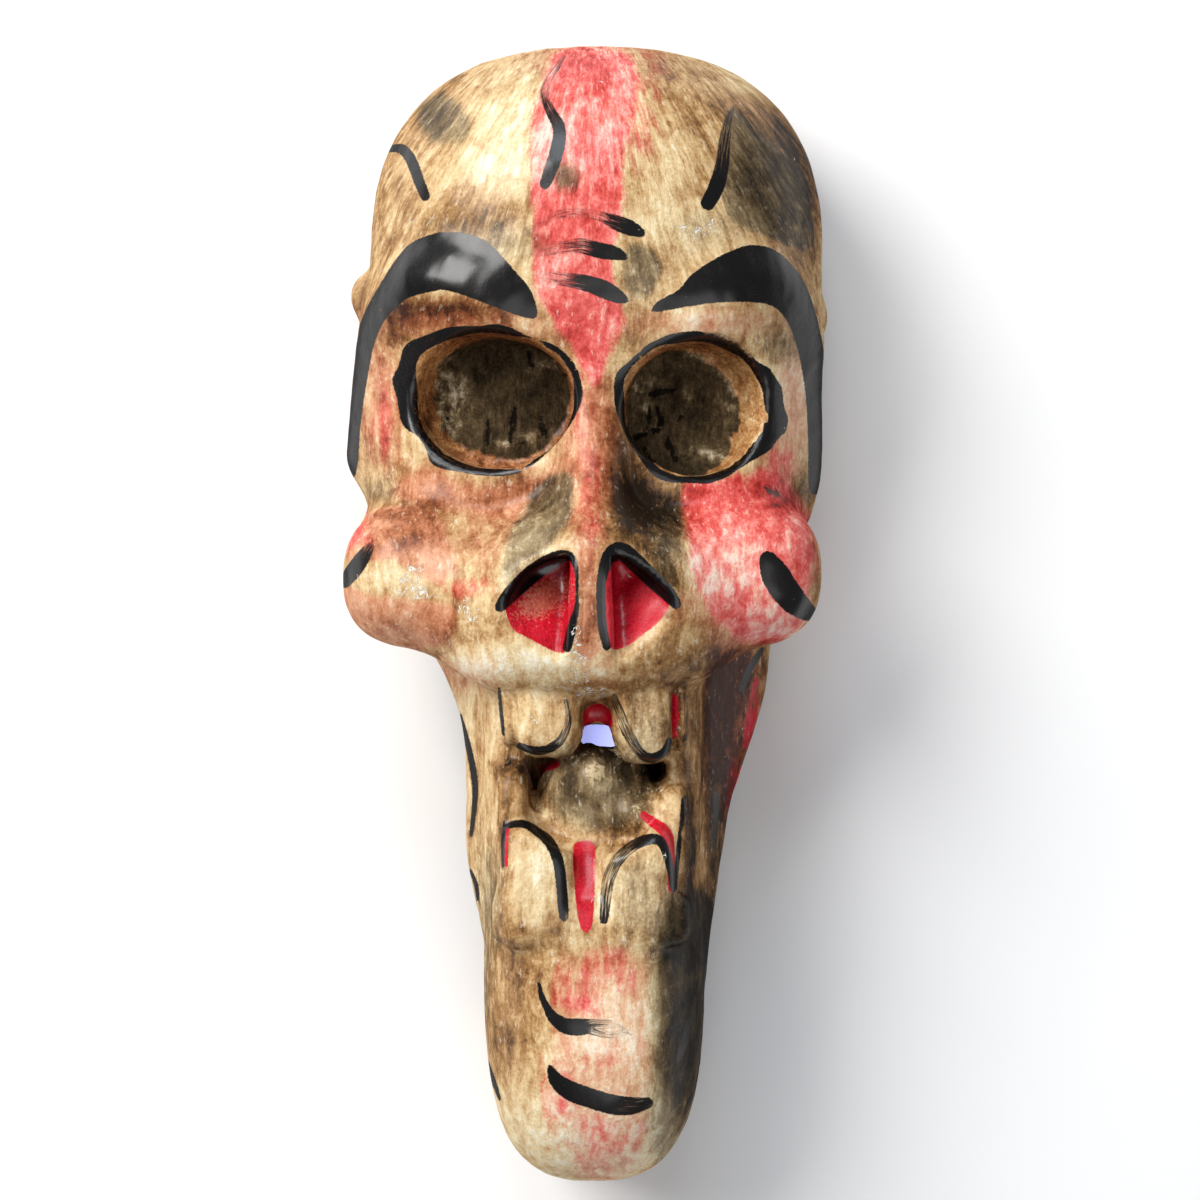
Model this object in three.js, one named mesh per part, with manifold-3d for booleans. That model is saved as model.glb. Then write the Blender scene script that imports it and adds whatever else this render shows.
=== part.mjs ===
// A carved and painted wooden skull mask, cut from one block and hollowed from behind.
// It lies on the flat cut edge of its back: +Z comes out of the face, +Y runs to the crown and
// +X is the viewer's right.
// The carving is a field, negative inside the wood, that is blended from rounded forms and then meshed.
import * as THREE from "three";
import { mergeVertices } from "three/addons/utils/BufferGeometryUtils.js";
import Module from "manifold-3d";

// Overall sizes of the block, in millimetres
const LENGTH = 403;
const WIDTH = 173;
const DEPTH = 126;

// Thicknesses left in the wood, and depths of the cuts
const WALL = 13;
const SOCKET_DEPTH = 25;
const SOCKET_WALL = 9;
const NOSTRIL_DEPTH = 12;
const NOSTRIL_WALL = 9;
const MOUTH_WALL = 8;
const BREATH_RADIUS = 8;
const TOOTH_GROOVE_RADIUS = 4.3;

// The forms below are millimetres on a block of this size, and stretch with the real one.
const DRAWN = { width: 173, length: 403, depth: 126 };
const STRETCH = [WIDTH / DRAWN.width, LENGTH / DRAWN.length, DEPTH / DRAWN.depth];

// Superellipsoids: a centre, three radii, and a power that is 2 for an ellipsoid and more for a squarer form
const CRANIUM = { centre: [1.8, 127, 30], radii: [81, 74.5, 80], power: 2.5 };
const FACE = { centre: [-3, 72, 26], radii: [82, 62, 71], power: 3 };
const MAXILLA = { centre: [-2, 0, 80], radii: [50, 30, 40], power: 2.8 };
const MUZZLE = { centre: [0, -40, 30], radii: [38.5, 84, 60], power: 5 };
const CHIN = { centre: [0.8, -129, 34], radii: [39.2, 72, 73], power: 2.8 };
const NOSE = { centre: [-1, 8, 88], radii: [33, 27, 35], power: 2.2 };
const TONGUE = [
  { centre: [2, -66, 76], radii: [21, 19.5, 20], power: 2.1 },
  { centre: [-1, -58, 83], radii: [13, 14, 15], power: 2 },
  { centre: [13, -69, 87], radii: [12, 9, 11], power: 2 },
];
const CHEEKS = [
  { centre: [-58, 12.5, 74], radii: [28, 24.5, 29], power: 2.5 },
  { centre: [52, 13.5, 74], radii: [27, 25, 29], power: 2.5 },
];
const EARS = [
  { centre: [-79, 114, 34], radii: [8, 9, 11], power: 2 },
  { centre: [78, 107, 32], radii: [7, 9, 11], power: 2 },
];
const LOWER_TEETH = [
  { centre: [0, -103, 88], radii: [34, 10, 17.5], power: 5 },
  { centre: [-18.5, -92, 90], radii: [13.5, 22, 18.5], power: 4 },
  { centre: [15.5, -92, 90], radii: [13, 22, 18.5], power: 4 },
  { centre: [-27, -76, 80], radii: [6, 25, 18], power: 4 },
  { centre: [27, -80, 80], radii: [6.5, 22, 18], power: 4 },
];
const UPPER_TEETH = [
  { centre: [-14.5, -31, 90], radii: [11.5, 18, 16], power: 4 },
  { centre: [17, -33, 90], radii: [10.5, 18, 16], power: 4 },
  { centre: [-28, -31, 84], radii: [2.5, 14, 16], power: 4 },
  { centre: [30.5, -31, 84], radii: [2, 16, 16], power: 4 },
];

// Cuts of the same kind: the mouth, and the scoop behind the front teeth of the jaw
const MOUTH = { centre: [0, -54, 84], radii: [25, 16, 36], power: 3 };
const JAW_SCOOP = { centre: [0, -66, 104], radii: [21, 15, 30], power: 2.2 };
const BREATH = [2, -47];
const BREATH_FRONT = 96;

// Ridges and grooves: round bars through points, each row its x, y, z and radius
const BROWS = [
  [[-20, 97, 92, 6], [-36, 108, 95, 11], [-54, 112, 87, 12], [-66, 101, 70, 10.5], [-73.5, 80, 58, 8],
    [-79, 56, 52, 7]],
  [[24, 98, 92, 6], [40, 107, 95, 11], [56, 110, 86, 12], [67, 99, 68, 11], [71, 78, 56, 8],
    [72.5, 52, 50, 8], [70, 38, 48, 7]],
];
const NOSE_RIDGE = [[2, 100, 86, 9], [1, 70, 94, 8], [0, 42, 103, 9], [-1, 20, 109, 11]];
const TOOTH_GAP = [[1.5, -30, 104, 2], [1.5, -53, 104, 12]];
const TOOTH_GROOVE = [[-2.5, -62, 110], [-2.5, -80, 113], [-2.5, -106, 112]];
const SIDE_GROOVES = [
  [[-31, -70, 108, 2], [-31.5, -92, 108, 2]],
  [[20, -66, 110, 2.2], [25, -78, 111, 2.2], [26.5, -98, 108, 2]],
];
const JAW_GROOVES = [
  [[-31, -60, 91, 2.4], [-32.5, -76, 91, 2.6], [-38, -89, 83, 3], [-42, -98, 62, 3]],
  [[34.5, -68, 92, 3], [35.5, -84, 90, 3], [39, -98, 82, 3], [43, -118, 60, 2.5]],
];

// The plates that flare back from the muzzle: rows of a height and the half width there at the back edge
const LEFT_PLATE = [
  [40, 76], [12, 69], [-8, 61], [-28, 50.5], [-42, 46.2], [-60, 45], [-86, 45], [-107, 40.4], [-118, 36],
];
const RIGHT_PLATE = [
  [40, 72], [12, 68], [-12, 65.5], [-28, 63.5], [-42, 59.5], [-57, 54], [-71, 49.2], [-100, 44.5],
  [-128, 39.5], [-142, 33],
];
const PLATE_FRONT = 60;
const PLATE_SLOPE = 1.25;

// Each eye socket is an ellipse at the face and another at its floor, each as x, y and two radii.
const SOCKET_FACE = 97;
const SOCKETS = [
  { mouth: [-35.7, 71.6, 29.7, 23], floor: [-30.2, 72, 24.4, 22] },
  { mouth: [38.4, 68.9, 27.6, 22.7], floor: [31.5, 70, 20, 22] },
];

// Each nostril is a wedge with a septum side, a wing side that bows out, and a floor that rises to its lip.
const NOSTRIL_FACE = 118;
const NOSTRILS = [
  { apex: [-7, 19], corner: [-29, 0], foot: [-9, -14], bow: 6 },
  { apex: [6.5, 20], corner: [28, 2], foot: [8, -13], bow: 2 },
];

// How finely the carving is sampled, how many triangles are kept, and how far below the back it is sampled
const STEP = 2.8;
const COARSE = 4;
const TRIANGLES = 9400;
const BELOW = 4;

// How far the widest blends can swell past the forms
const BLEND = 4;

function smoothMin(a, b, blend) {
  const near = blend - Math.abs(a - b);
  return Math.min(a, b) - (near > 0 ? (near * near) / (4 * blend) : 0);
}

const smoothMax = (a, b, blend) => -smoothMin(-a, -b, blend);

// A curve through b and c, shaped by their neighbours a and d.
function between(a, b, c, d, t) {
  return b + 0.5 * t * (c - a + t * (2 * a - 5 * b + 4 * c - d + t * (3 * (b - c) + d - a)));
}

// More rows on a smooth curve through the given rows.
function curved(rows, pieces = 4) {
  const made = [];
  for (let i = 0; i + 1 < rows.length; i++) {
    const before = rows[Math.max(i - 1, 0)];
    const after = rows[Math.min(i + 2, rows.length - 1)];
    for (let piece = 0; piece < pieces; piece++)
      made.push(rows[i].map((v, n) => between(before[n], v, rows[i + 1][n], after[n], piece / pieces)));
  }
  return [...made, rows[rows.length - 1]];
}

// Distance to a superellipsoid.
function rounded(p, { centre, radii, power }) {
  const a = Math.abs(p[0] - centre[0]) / radii[0] + 1e-6;
  const b = Math.abs(p[1] - centre[1]) / radii[1] + 1e-6;
  const c = Math.abs(p[2] - centre[2]) / radii[2] + 1e-6;
  const reach = (a ** power + b ** power + c ** power) ** (1 / power);
  const slopes = [a, b, c].map((share, axis) => (share / reach) ** (power - 1) / radii[axis]);
  return (reach - 1) / Math.hypot(...slopes);
}

// Distance to a chain of round bars that taper between the rows.
function chain(p, rows, radius = 0) {
  let best = Infinity;
  for (let i = 0; i + 1 < rows.length; i++) {
    const [ax, ay, az, ar = radius] = rows[i];
    const [ex, ey, ez, er = radius] = rows[i + 1];
    const [bx, by, bz] = [ex - ax, ey - ay, ez - az];
    const [x, y, z] = [p[0] - ax, p[1] - ay, p[2] - az];
    const t = Math.min(1, Math.max(0, (x * bx + y * by + z * bz) / (bx * bx + by * by + bz * bz)));
    const away = Math.sqrt((x - bx * t) ** 2 + (y - by * t) ** 2 + (z - bz * t) ** 2);
    best = Math.min(best, away - ar - (er - ar) * t);
  }
  return best;
}

// Half width of a plate at a height. The rows run downwards.
function atHeight(rows, y) {
  if (y >= rows[0][0]) return rows[0][1];
  for (let i = 1; i < rows.length; i++)
    if (y >= rows[i][0]) {
      const [y0, v0] = rows[i - 1];
      const [y1, v1] = rows[i];
      return v0 + ((v1 - v0) * (y - y0)) / (y1 - y0);
    }
  return rows[rows.length - 1][1];
}

const brows = BROWS.map((rows) => curved(rows));
const noseRidge = curved(NOSE_RIDGE);
const jawGrooves = JAW_GROOVES.map((rows) => curved(rows));
const leftPlate = curved(LEFT_PLATE, 6);
const rightPlate = curved(RIGHT_PLATE, 6);

// The plates below the cheeks.
function plates(p) {
  const rows = p[0] < 0 ? leftPlate : rightPlate;
  const half = Math.abs(p[0]);
  const side = half - atHeight(rows, p[1]);
  const back = Math.max(half - MUZZLE.radii[0], -4) * PLATE_SLOPE;
  const front = (p[2] - PLATE_FRONT + back) / Math.hypot(1, PLATE_SLOPE);
  const ends = Math.max(p[1] - rows[0][0], rows[rows.length - 1][0] - p[1]);
  return smoothMax(smoothMax(side, front, 8), ends, 8);
}

// The big closed forms, which the hollow follows.
function body(p) {
  const head = smoothMin(rounded(p, CRANIUM), rounded(p, FACE), 16);
  const lip = smoothMin(head, rounded(p, MAXILLA), 12);
  const muzzle = smoothMin(lip, rounded(p, MUZZLE), 6);
  return smoothMin(smoothMin(muzzle, plates(p), 5), rounded(p, CHIN), 3);
}

// Distance to an eye socket down to its floor.
function socket(p, { mouth, floor }, blend) {
  const t = Math.min(1.2, Math.max(-0.6, (SOCKET_FACE - p[2]) / SOCKET_DEPTH));
  const [x, y, a, b] = mouth.map((v, n) => v + (floor[n] - v) * t);
  const side = (Math.sqrt(((p[0] - x) / a) ** 2 + ((p[1] - y) / b) ** 2) - 1) * Math.min(floor[2], floor[3]);
  return smoothMax(side, SOCKET_FACE - SOCKET_DEPTH - p[2], blend);
}

// Distance from the line from a to b in the plane of the face, positive on its left.
function leftOf(p, a, b) {
  const along = [b[0] - a[0], b[1] - a[1]];
  return (along[0] * (p[1] - a[1]) - along[1] * (p[0] - a[0])) / Math.hypot(...along);
}

function nostril(p, { apex, corner, foot, bow }) {
  const turn = -Math.sign(apex[0]);
  const septum = turn * leftOf(p, foot, apex);
  const [across, down] = [corner[0] - apex[0], corner[1] - apex[1]];
  const run = ((p[0] - apex[0]) * across + (p[1] - apex[1]) * down) / (across * across + down * down);
  const t = Math.min(1, Math.max(0, run));
  const wing = turn * leftOf(p, apex, corner) + bow * 4 * t * (1 - t);
  const share = leftOf(p, corner, foot) / leftOf(apex, corner, foot);
  const depth = NOSTRIL_DEPTH * Math.min(1, 1.5 * Math.max(-0.3, share + 0.05));
  return smoothMax(smoothMax(-septum, -wing, 2), NOSTRIL_FACE - depth - p[2], 4);
}

// The hollow of the back, which keeps its walls to the outside, the sockets, the nostrils and the mouth.
function hollow(p, skin, scale) {
  let cut = skin + WALL / scale;
  for (const shape of SOCKETS) cut = smoothMax(cut, SOCKET_WALL / scale - socket(p, shape, 4), 6);
  for (const shape of NOSTRILS) cut = smoothMax(cut, NOSTRIL_WALL / scale - nostril(p, shape), 6);
  return smoothMax(cut, MOUTH_WALL / scale - rounded(p, MOUTH), 6);
}

function lowerTeeth(p) {
  let teeth = rounded(p, LOWER_TEETH[0]);
  for (const tooth of LOWER_TEETH.slice(1)) teeth = smoothMin(teeth, rounded(p, tooth), 3);
  teeth = smoothMax(teeth, -rounded(p, JAW_SCOOP), 3);
  teeth = smoothMax(teeth, -chain(p, TOOTH_GROOVE, TOOTH_GROOVE_RADIUS), 1.5);
  for (const groove of SIDE_GROOVES) teeth = smoothMax(teeth, -chain(p, groove), 1);
  return teeth;
}

function tongueOf(p) {
  return TONGUE.map((lump) => rounded(p, lump)).reduce((a, b) => smoothMin(a, b, 4));
}

function upperTeeth(p) {
  let teeth = rounded(p, UPPER_TEETH[0]);
  for (const tooth of UPPER_TEETH.slice(1)) teeth = smoothMin(teeth, rounded(p, tooth), 1.5);
  return smoothMax(teeth, -chain(p, TOOTH_GAP), 2);
}

// How far the outermost forms reach along an axis of the drawn block, with side 1 or -1.
function farthest(axis, side) {
  const lumps = [
    CRANIUM, FACE, MAXILLA, MUZZLE, CHIN, NOSE, ...CHEEKS, ...EARS, ...LOWER_TEETH, ...UPPER_TEETH,
  ];
  const ends = lumps.map(({ centre, radii }) => side * centre[axis] + radii[axis]);
  const bars = [...BROWS.flat(), ...NOSE_RIDGE].map((row) => side * row[axis] + row[3]);
  return Math.max(...ends, ...bars);
}

// The whole carving, as a distance in millimetres at a point of the real block.
function carving(x, y, z) {
  const scale = Math.min(...STRETCH);
  const p = [x / STRETCH[0], y / STRETCH[1], z / STRETCH[2]];
  const skin = body(p);
  let wood = smoothMin(skin, rounded(p, NOSE), 16);
  wood = smoothMin(wood, chain(p, noseRidge), 14);
  for (const cheek of CHEEKS) wood = smoothMin(wood, rounded(p, cheek), 16);
  for (const brow of brows) wood = smoothMin(wood, chain(p, brow), 10);
  for (const ear of EARS) wood = smoothMin(wood, rounded(p, ear), 4);
  for (const shape of SOCKETS) wood = smoothMax(wood, -socket(p, shape, 5), 3);
  for (const shape of NOSTRILS) wood = smoothMax(wood, -nostril(p, shape), 2.5);
  wood = smoothMax(wood, -rounded(p, MOUTH), 3);
  wood = smoothMin(wood, lowerTeeth(p), 3);
  for (const groove of jawGrooves) wood = smoothMax(wood, -chain(p, groove), 2);
  const tongue = tongueOf(p);
  wood = smoothMin(wood, tongue, 3);
  wood = smoothMin(wood, upperTeeth(p), 2);
  wood = smoothMax(wood, -hollow(p, skin, scale), 5);
  const hole = Math.hypot(p[0] - BREATH[0], p[1] - BREATH[1]) - BREATH_RADIUS;
  const breath = Math.max(hole, p[2] - BREATH_FRONT);
  wood = smoothMax(wood, -smoothMax(breath, -tongue, 1), 1.5);
  return wood * scale;
}

// The six tetrahedra of a cube about its diagonal, as corner numbers whose bits are the x, y and z steps
const TETRAHEDRA = [[0, 1, 3, 7], [0, 3, 2, 7], [0, 2, 6, 7], [0, 6, 4, 7], [0, 4, 5, 7], [0, 5, 1, 7]];

// Samples of the field on a grid. Where a coarse sample is far from the surface its neighbours take
// its value.
function sampled(field, low, count, step) {
  const values = new Float64Array(count[0] * count[1] * count[2]);
  const far = COARSE * step * 1.6;
  const at = (i, j, k) => field(low[0] + i * step, low[1] + j * step, low[2] + k * step);
  for (let k0 = 0; k0 < count[2]; k0 += COARSE)
    for (let j0 = 0; j0 < count[1]; j0 += COARSE)
      for (let i0 = 0; i0 < count[0]; i0 += COARSE) {
        const middle = at(i0 + COARSE / 2, j0 + COARSE / 2, k0 + COARSE / 2);
        for (let k = k0; k < Math.min(k0 + COARSE, count[2]); k++)
          for (let j = j0; j < Math.min(j0 + COARSE, count[1]); j++)
            for (let i = i0; i < Math.min(i0 + COARSE, count[0]); i++) {
              const value = Math.abs(middle) > far ? middle : at(i, j, k);
              const clear = 0.02 * step;
              const side = value < 0 ? -clear : clear;
              values[(k * count[1] + j) * count[0] + i] = Math.abs(value) < clear ? side : value;
            }
      }
  return values;
}

// Meshes the surface where the field is zero by marching tetrahedra, whose surface always closes.
function surfaceOf(field, low, high, step) {
  const count = low.map((v, i) => Math.ceil((high[i] - v) / step) + 1);
  const values = sampled(field, low, count, step);
  const points = [];
  const faces = [];
  const made = new Map();

  const crossing = (a, b) => {
    const from = Math.min(a, b);
    const to = Math.max(a, b);
    const key = from * values.length + to;
    const known = made.get(key);
    if (known !== undefined) return known;
    const t = values[from] / (values[from] - values[to]);
    const place = (n, axis) => {
      const row = Math.floor(n / count[0]);
      const steps = [n % count[0], row % count[1], Math.floor(row / count[1])];
      return low[axis] + steps[axis] * step;
    };
    points.push(...[0, 1, 2].map((axis) => place(from, axis) + (place(to, axis) - place(from, axis)) * t));
    made.set(key, points.length / 3 - 1);
    return points.length / 3 - 1;
  };

  const corners = new Array(8);
  for (let k = 0; k + 1 < count[2]; k++)
    for (let j = 0; j + 1 < count[1]; j++)
      for (let i = 0; i + 1 < count[0]; i++) {
        let inside = 0;
        for (let c = 0; c < 8; c++) {
          corners[c] = ((k + (c >> 2)) * count[1] + j + ((c >> 1) & 1)) * count[0] + i + (c & 1);
          if (values[corners[c]] < 0) inside++;
        }
        if (inside === 0 || inside === 8) continue;
        for (const tetrahedron of TETRAHEDRA) {
          cutTetrahedron(tetrahedron.map((c) => corners[c]), values, crossing, faces);
        }
      }
  return { points, faces };
}

// Adds the one or two triangles where the surface crosses a tetrahedron, facing out of the wood.
function cutTetrahedron(corners, values, crossing, faces) {
  const count = corners.filter((n) => values[n] < 0).length;
  if (count === 0 || count === 4) return;
  // The corners in the wood are put first, and each swap turns the tetrahedron over.
  let turned = false;
  for (let i = 0; i < count; i++) {
    const found = corners.findIndex((n, at) => at >= i && values[n] < 0);
    if (found === i) continue;
    [corners[i], corners[found]] = [corners[found], corners[i]];
    turned = !turned;
  }
  const [a, b, c, d] = corners;
  const add = (p, q, r) => faces.push(turned ? [p, r, q] : [p, q, r]);
  if (count === 1) add(crossing(a, b), crossing(a, c), crossing(a, d));
  else if (count === 3) add(crossing(a, d), crossing(b, d), crossing(c, d));
  else {
    const [p, q, r, s] = [crossing(a, c), crossing(a, d), crossing(b, d), crossing(b, c)];
    add(p, q, r);
    add(p, r, s);
  }
}

// A binary heap of edges, cheapest first.
class Queue {
  entries = [];

  push(entry) {
    const heap = this.entries;
    let at = heap.push(entry) - 1;
    while (at > 0) {
      const up = (at - 1) >> 1;
      if (heap[up].cost <= entry.cost) break;
      heap[at] = heap[up];
      at = up;
    }
    heap[at] = entry;
  }

  pop() {
    const heap = this.entries;
    const top = heap[0];
    const last = heap.pop();
    if (heap.length === 0) return top;
    let at = 0;
    for (;;) {
      let child = 2 * at + 1;
      if (child >= heap.length) break;
      if (child + 1 < heap.length && heap[child + 1].cost < heap[child].cost) child++;
      if (heap[child].cost >= last.cost) break;
      heap[at] = heap[child];
      at = child;
    }
    heap[at] = last;
    return top;
  }
}

// Merges edges, cheapest first by their distance from the first planes, until few triangles are left.
class Simplifier {
  constructor({ points, faces }) {
    this.points = points;
    this.faces = faces;
    this.around = Array.from({ length: points.length / 3 }, () => []);
    this.quadrics = Array.from({ length: points.length / 3 }, () => new Float64Array(10));
    this.stamps = new Int32Array(points.length / 3);
    this.queue = new Queue();
    faces.forEach((face, n) => {
      const [nx, ny, nz, twice] = this.facing(face);
      const away = -(nx * points[3 * face[0]] + ny * points[3 * face[0] + 1] + nz * points[3 * face[0] + 2]);
      const plane = [nx, ny, nz, away];
      for (const v of face) {
        this.around[v].push(n);
        let slot = 0;
        for (let i = 0; i < 4; i++)
          for (let j = i; j < 4; j++) this.quadrics[v][slot++] += (plane[i] * plane[j] * twice) / 2;
      }
    });
    this.left = faces.length;
    this.around.forEach((_, v) => {
      for (const w of this.neighbours(v)) if (v < w) this.offer(v, w);
    });
  }

  // Unit normal of a triangle, and twice its area. A corner may be tried at another place.
  facing([a, b, c], moved = -1, place = null) {
    const at = (v, axis) => (v === moved ? place[axis] : this.points[3 * v + axis]);
    const ux = at(b, 0) - at(a, 0);
    const uy = at(b, 1) - at(a, 1);
    const uz = at(b, 2) - at(a, 2);
    const vx = at(c, 0) - at(a, 0);
    const vy = at(c, 1) - at(a, 1);
    const vz = at(c, 2) - at(a, 2);
    const [x, y, z] = [uy * vz - uz * vy, uz * vx - ux * vz, ux * vy - uy * vx];
    const twice = Math.sqrt(x * x + y * y + z * z) || 1e-12;
    return [x / twice, y / twice, z / twice, twice];
  }

  neighbours(v) {
    const found = [];
    for (const w of this.around[v].flatMap((n) => this.faces[n])) {
      if (w !== v && !found.includes(w)) found.push(w);
    }
    return found;
  }

  // The best place for a merged point: where the planes meet, or the best of the ends and the middle.
  best(v, w) {
    const q = new Float64Array(10);
    for (let i = 0; i < 10; i++) q[i] = this.quadrics[v][i] + this.quadrics[w][i];
    const a = this.points.slice(3 * v, 3 * v + 3);
    const b = this.points.slice(3 * w, 3 * w + 3);
    const middle = a.map((value, i) => (value + b[i]) / 2);
    const length = Math.hypot(a[0] - b[0], a[1] - b[1], a[2] - b[2]);
    const places = [a, b, middle];
    // Cramer's rule for the place where the planes meet
    const [xx, xy, xz, xd, yy, yz, yd, zz, zd] = q;
    const [minorX, minorY, minorZ] = [yy * zz - yz * yz, xy * zz - yz * xz, xy * yz - yy * xz];
    const whole = xx * minorX - xy * minorY + xz * minorZ;
    if (Math.abs(whole) > 1e-3 * ((xx + yy + zz) / 3) ** 3) {
      const meet = [
        -(xd * minorX - xy * (yd * zz - yz * zd) + xz * (yd * yz - yy * zd)) / whole,
        -(xx * (yd * zz - yz * zd) - xd * minorY + xz * (xy * zd - yd * xz)) / whole,
        -(xx * (yy * zd - yd * yz) - xy * (xy * zd - yd * xz) + xd * minorZ) / whole,
      ];
      if (Math.hypot(...meet.map((value, axis) => value - middle[axis])) < length) places.push(meet);
    }
    let least = null;
    for (const place of places) {
      const [x, y, z] = place;
      const cost =
        x * (xx * x + 2 * (xy * y + xz * z + xd)) +
        y * (yy * y + 2 * (yz * z + yd)) +
        z * (zz * z + 2 * zd) +
        q[9];
      if (!least || cost < least.cost) least = { cost, place };
    }
    return { place: least.place, cost: Math.max(0, least.cost) + 1e-4 * length * length, q };
  }

  offer(v, w) {
    this.queue.push({ cost: this.best(v, w).cost, v, w, marks: [this.stamps[v], this.stamps[w]] });
  }

  // True if moving v to the place turns over none of its triangles that stay.
  holds(v, w, place) {
    for (const n of this.around[v]) {
      const face = this.faces[n];
      if (face.includes(w)) continue;
      const before = this.facing(face);
      const after = this.facing(face, v, place);
      const alike = before[0] * after[0] + before[1] * after[1] + before[2] * after[2];
      if (after[3] < 2e-3 || alike < 0.3) return false;
    }
    return true;
  }

  merge(v, w) {
    const others = this.neighbours(w);
    if (this.neighbours(v).filter((n) => others.includes(n)).length !== 2) return;
    const { place, q } = this.best(v, w);
    if (!this.holds(v, w, place) || !this.holds(w, v, place)) return;
    for (let axis = 0; axis < 3; axis++) this.points[3 * v + axis] = place[axis];
    this.quadrics[v] = q;
    for (const n of this.around[w]) {
      const face = this.faces[n];
      if (face.includes(v)) {
        for (const corner of face.filter((v) => v !== w)) {
          this.around[corner].splice(this.around[corner].indexOf(n), 1);
        }
        this.faces[n] = null;
        this.left--;
      } else {
        face[face.indexOf(w)] = v;
        this.around[v].push(n);
      }
    }
    this.around[w] = [];
    this.stamps[v]++;
    this.stamps[w]++;
    for (const n of this.neighbours(v)) this.offer(v, n);
  }

  run(triangles) {
    while (this.left > triangles && this.queue.entries.length) {
      const { v, w, marks } = this.queue.pop();
      if (this.stamps[v] === marks[0] && this.stamps[w] === marks[1]) this.merge(v, w);
    }
    return { points: this.points, faces: this.faces.filter(Boolean) };
  }
}

const wasm = await Module();
wasm.setup();

// A manifold-3d solid of a closed three.js geometry.
function solidOf(geometry) {
  const bare = geometry.clone();
  bare.deleteAttribute("normal");
  bare.deleteAttribute("uv");
  const merged = mergeVertices(bare);
  return new wasm.Manifold(
    new wasm.Mesh({
      numProp: 3,
      vertProperties: new Float32Array(merged.attributes.position.array),
      triVerts: new Uint32Array(merged.index.array),
    }),
  );
}

function meshed(solid) {
  const { vertProperties, triVerts } = solid.getMesh();
  return new THREE.BufferGeometry()
    .setAttribute("position", new THREE.BufferAttribute(vertProperties, 3))
    .setIndex(new THREE.BufferAttribute(triVerts, 1));
}

// The block of the mask, meshed, simplified, cut flat at its back and centred over the frame's origin.
function maskGeometry() {
  const margin = BLEND + 3 * STEP;
  const low = [0, 1].map((axis) => -STRETCH[axis] * farthest(axis, -1) - margin);
  const high = [0, 1, 2].map((axis) => STRETCH[axis] * farthest(axis, 1) + margin);
  low.push(-BELOW);
  const closed = (x, y, z) => Math.max(carving(x, y, z), -BELOW / 2 - z);
  const { points, faces } = new Simplifier(surfaceOf(closed, low, high, STEP)).run(TRIANGLES);
  const block = new THREE.BufferGeometry();
  block.setAttribute("position", new THREE.Float32BufferAttribute(points, 3));
  block.setIndex(faces.flat());
  const below = new THREE.BoxGeometry(2 * WIDTH, 2 * LENGTH, 2 * BELOW).translate(0, 0, -BELOW);
  const cut = meshed(solidOf(block).subtract(solidOf(below)));
  cut.computeBoundingBox();
  const { min, max } = cut.boundingBox;
  return cut.translate(-(min.x + max.x) / 2, -(min.y + max.y) / 2, 0);
}

const paintedWood = new THREE.MeshStandardMaterial({ color: 0xd2b184, roughness: 0.55, metalness: 0 });

const mask = new THREE.Mesh(maskGeometry(), paintedWood);
mask.name = "skull_mask";

const root = new THREE.Group();
root.add(mask);
export default root;
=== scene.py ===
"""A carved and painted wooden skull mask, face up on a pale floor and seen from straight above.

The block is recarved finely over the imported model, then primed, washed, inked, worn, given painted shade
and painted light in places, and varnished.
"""
import logging
import math
from dataclasses import dataclass, field
from enum import Enum

import bpy
import numpy as np
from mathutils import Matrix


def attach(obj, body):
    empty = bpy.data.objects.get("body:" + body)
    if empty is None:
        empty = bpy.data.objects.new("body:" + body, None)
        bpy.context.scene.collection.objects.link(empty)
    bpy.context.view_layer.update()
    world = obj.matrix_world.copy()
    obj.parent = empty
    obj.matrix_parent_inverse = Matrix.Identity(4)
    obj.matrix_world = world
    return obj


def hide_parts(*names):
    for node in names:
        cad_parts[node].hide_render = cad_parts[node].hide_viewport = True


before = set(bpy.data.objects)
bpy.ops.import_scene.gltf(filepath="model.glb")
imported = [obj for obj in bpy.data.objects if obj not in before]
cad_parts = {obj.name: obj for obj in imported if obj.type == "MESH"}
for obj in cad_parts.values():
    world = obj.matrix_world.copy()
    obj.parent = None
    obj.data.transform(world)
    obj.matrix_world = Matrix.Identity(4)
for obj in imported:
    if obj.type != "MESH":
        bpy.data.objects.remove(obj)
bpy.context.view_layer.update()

Array = np.ndarray
Row = tuple[float, ...]
log = logging.getLogger("skull_mask")


# Sums on whole arrays of points


def smooth_min(a: Array, b: Array, blend: float) -> Array:
    """Join two distances with a rounded seam.

    Args:
        a: Distance to the first form.
        b: Distance to the second form.
        blend: Width of the seam.

    Returns:
        The lower of the two, rounded where they meet.
    """
    return np.minimum(a, b) - np.maximum(blend - np.abs(a - b), 0) ** 2 / (4 * blend)


def smooth_max(a: Array, b: Array, blend: float) -> Array:
    """The higher of two distances, rounded where they meet."""
    return -smooth_min(-a, -b, blend)


def rise(value: Array, low: float, high: float) -> Array:
    """Turn a value into a soft step.

    Args:
        value: What is stepped.
        low: Where the step starts.
        high: Where it is full.

    Returns:
        0 at low, 1 at high and a smooth ramp between them.
    """
    t = np.clip((value - low) / (high - low), 0, 1)
    return t * t * (3 - 2 * t)


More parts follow.
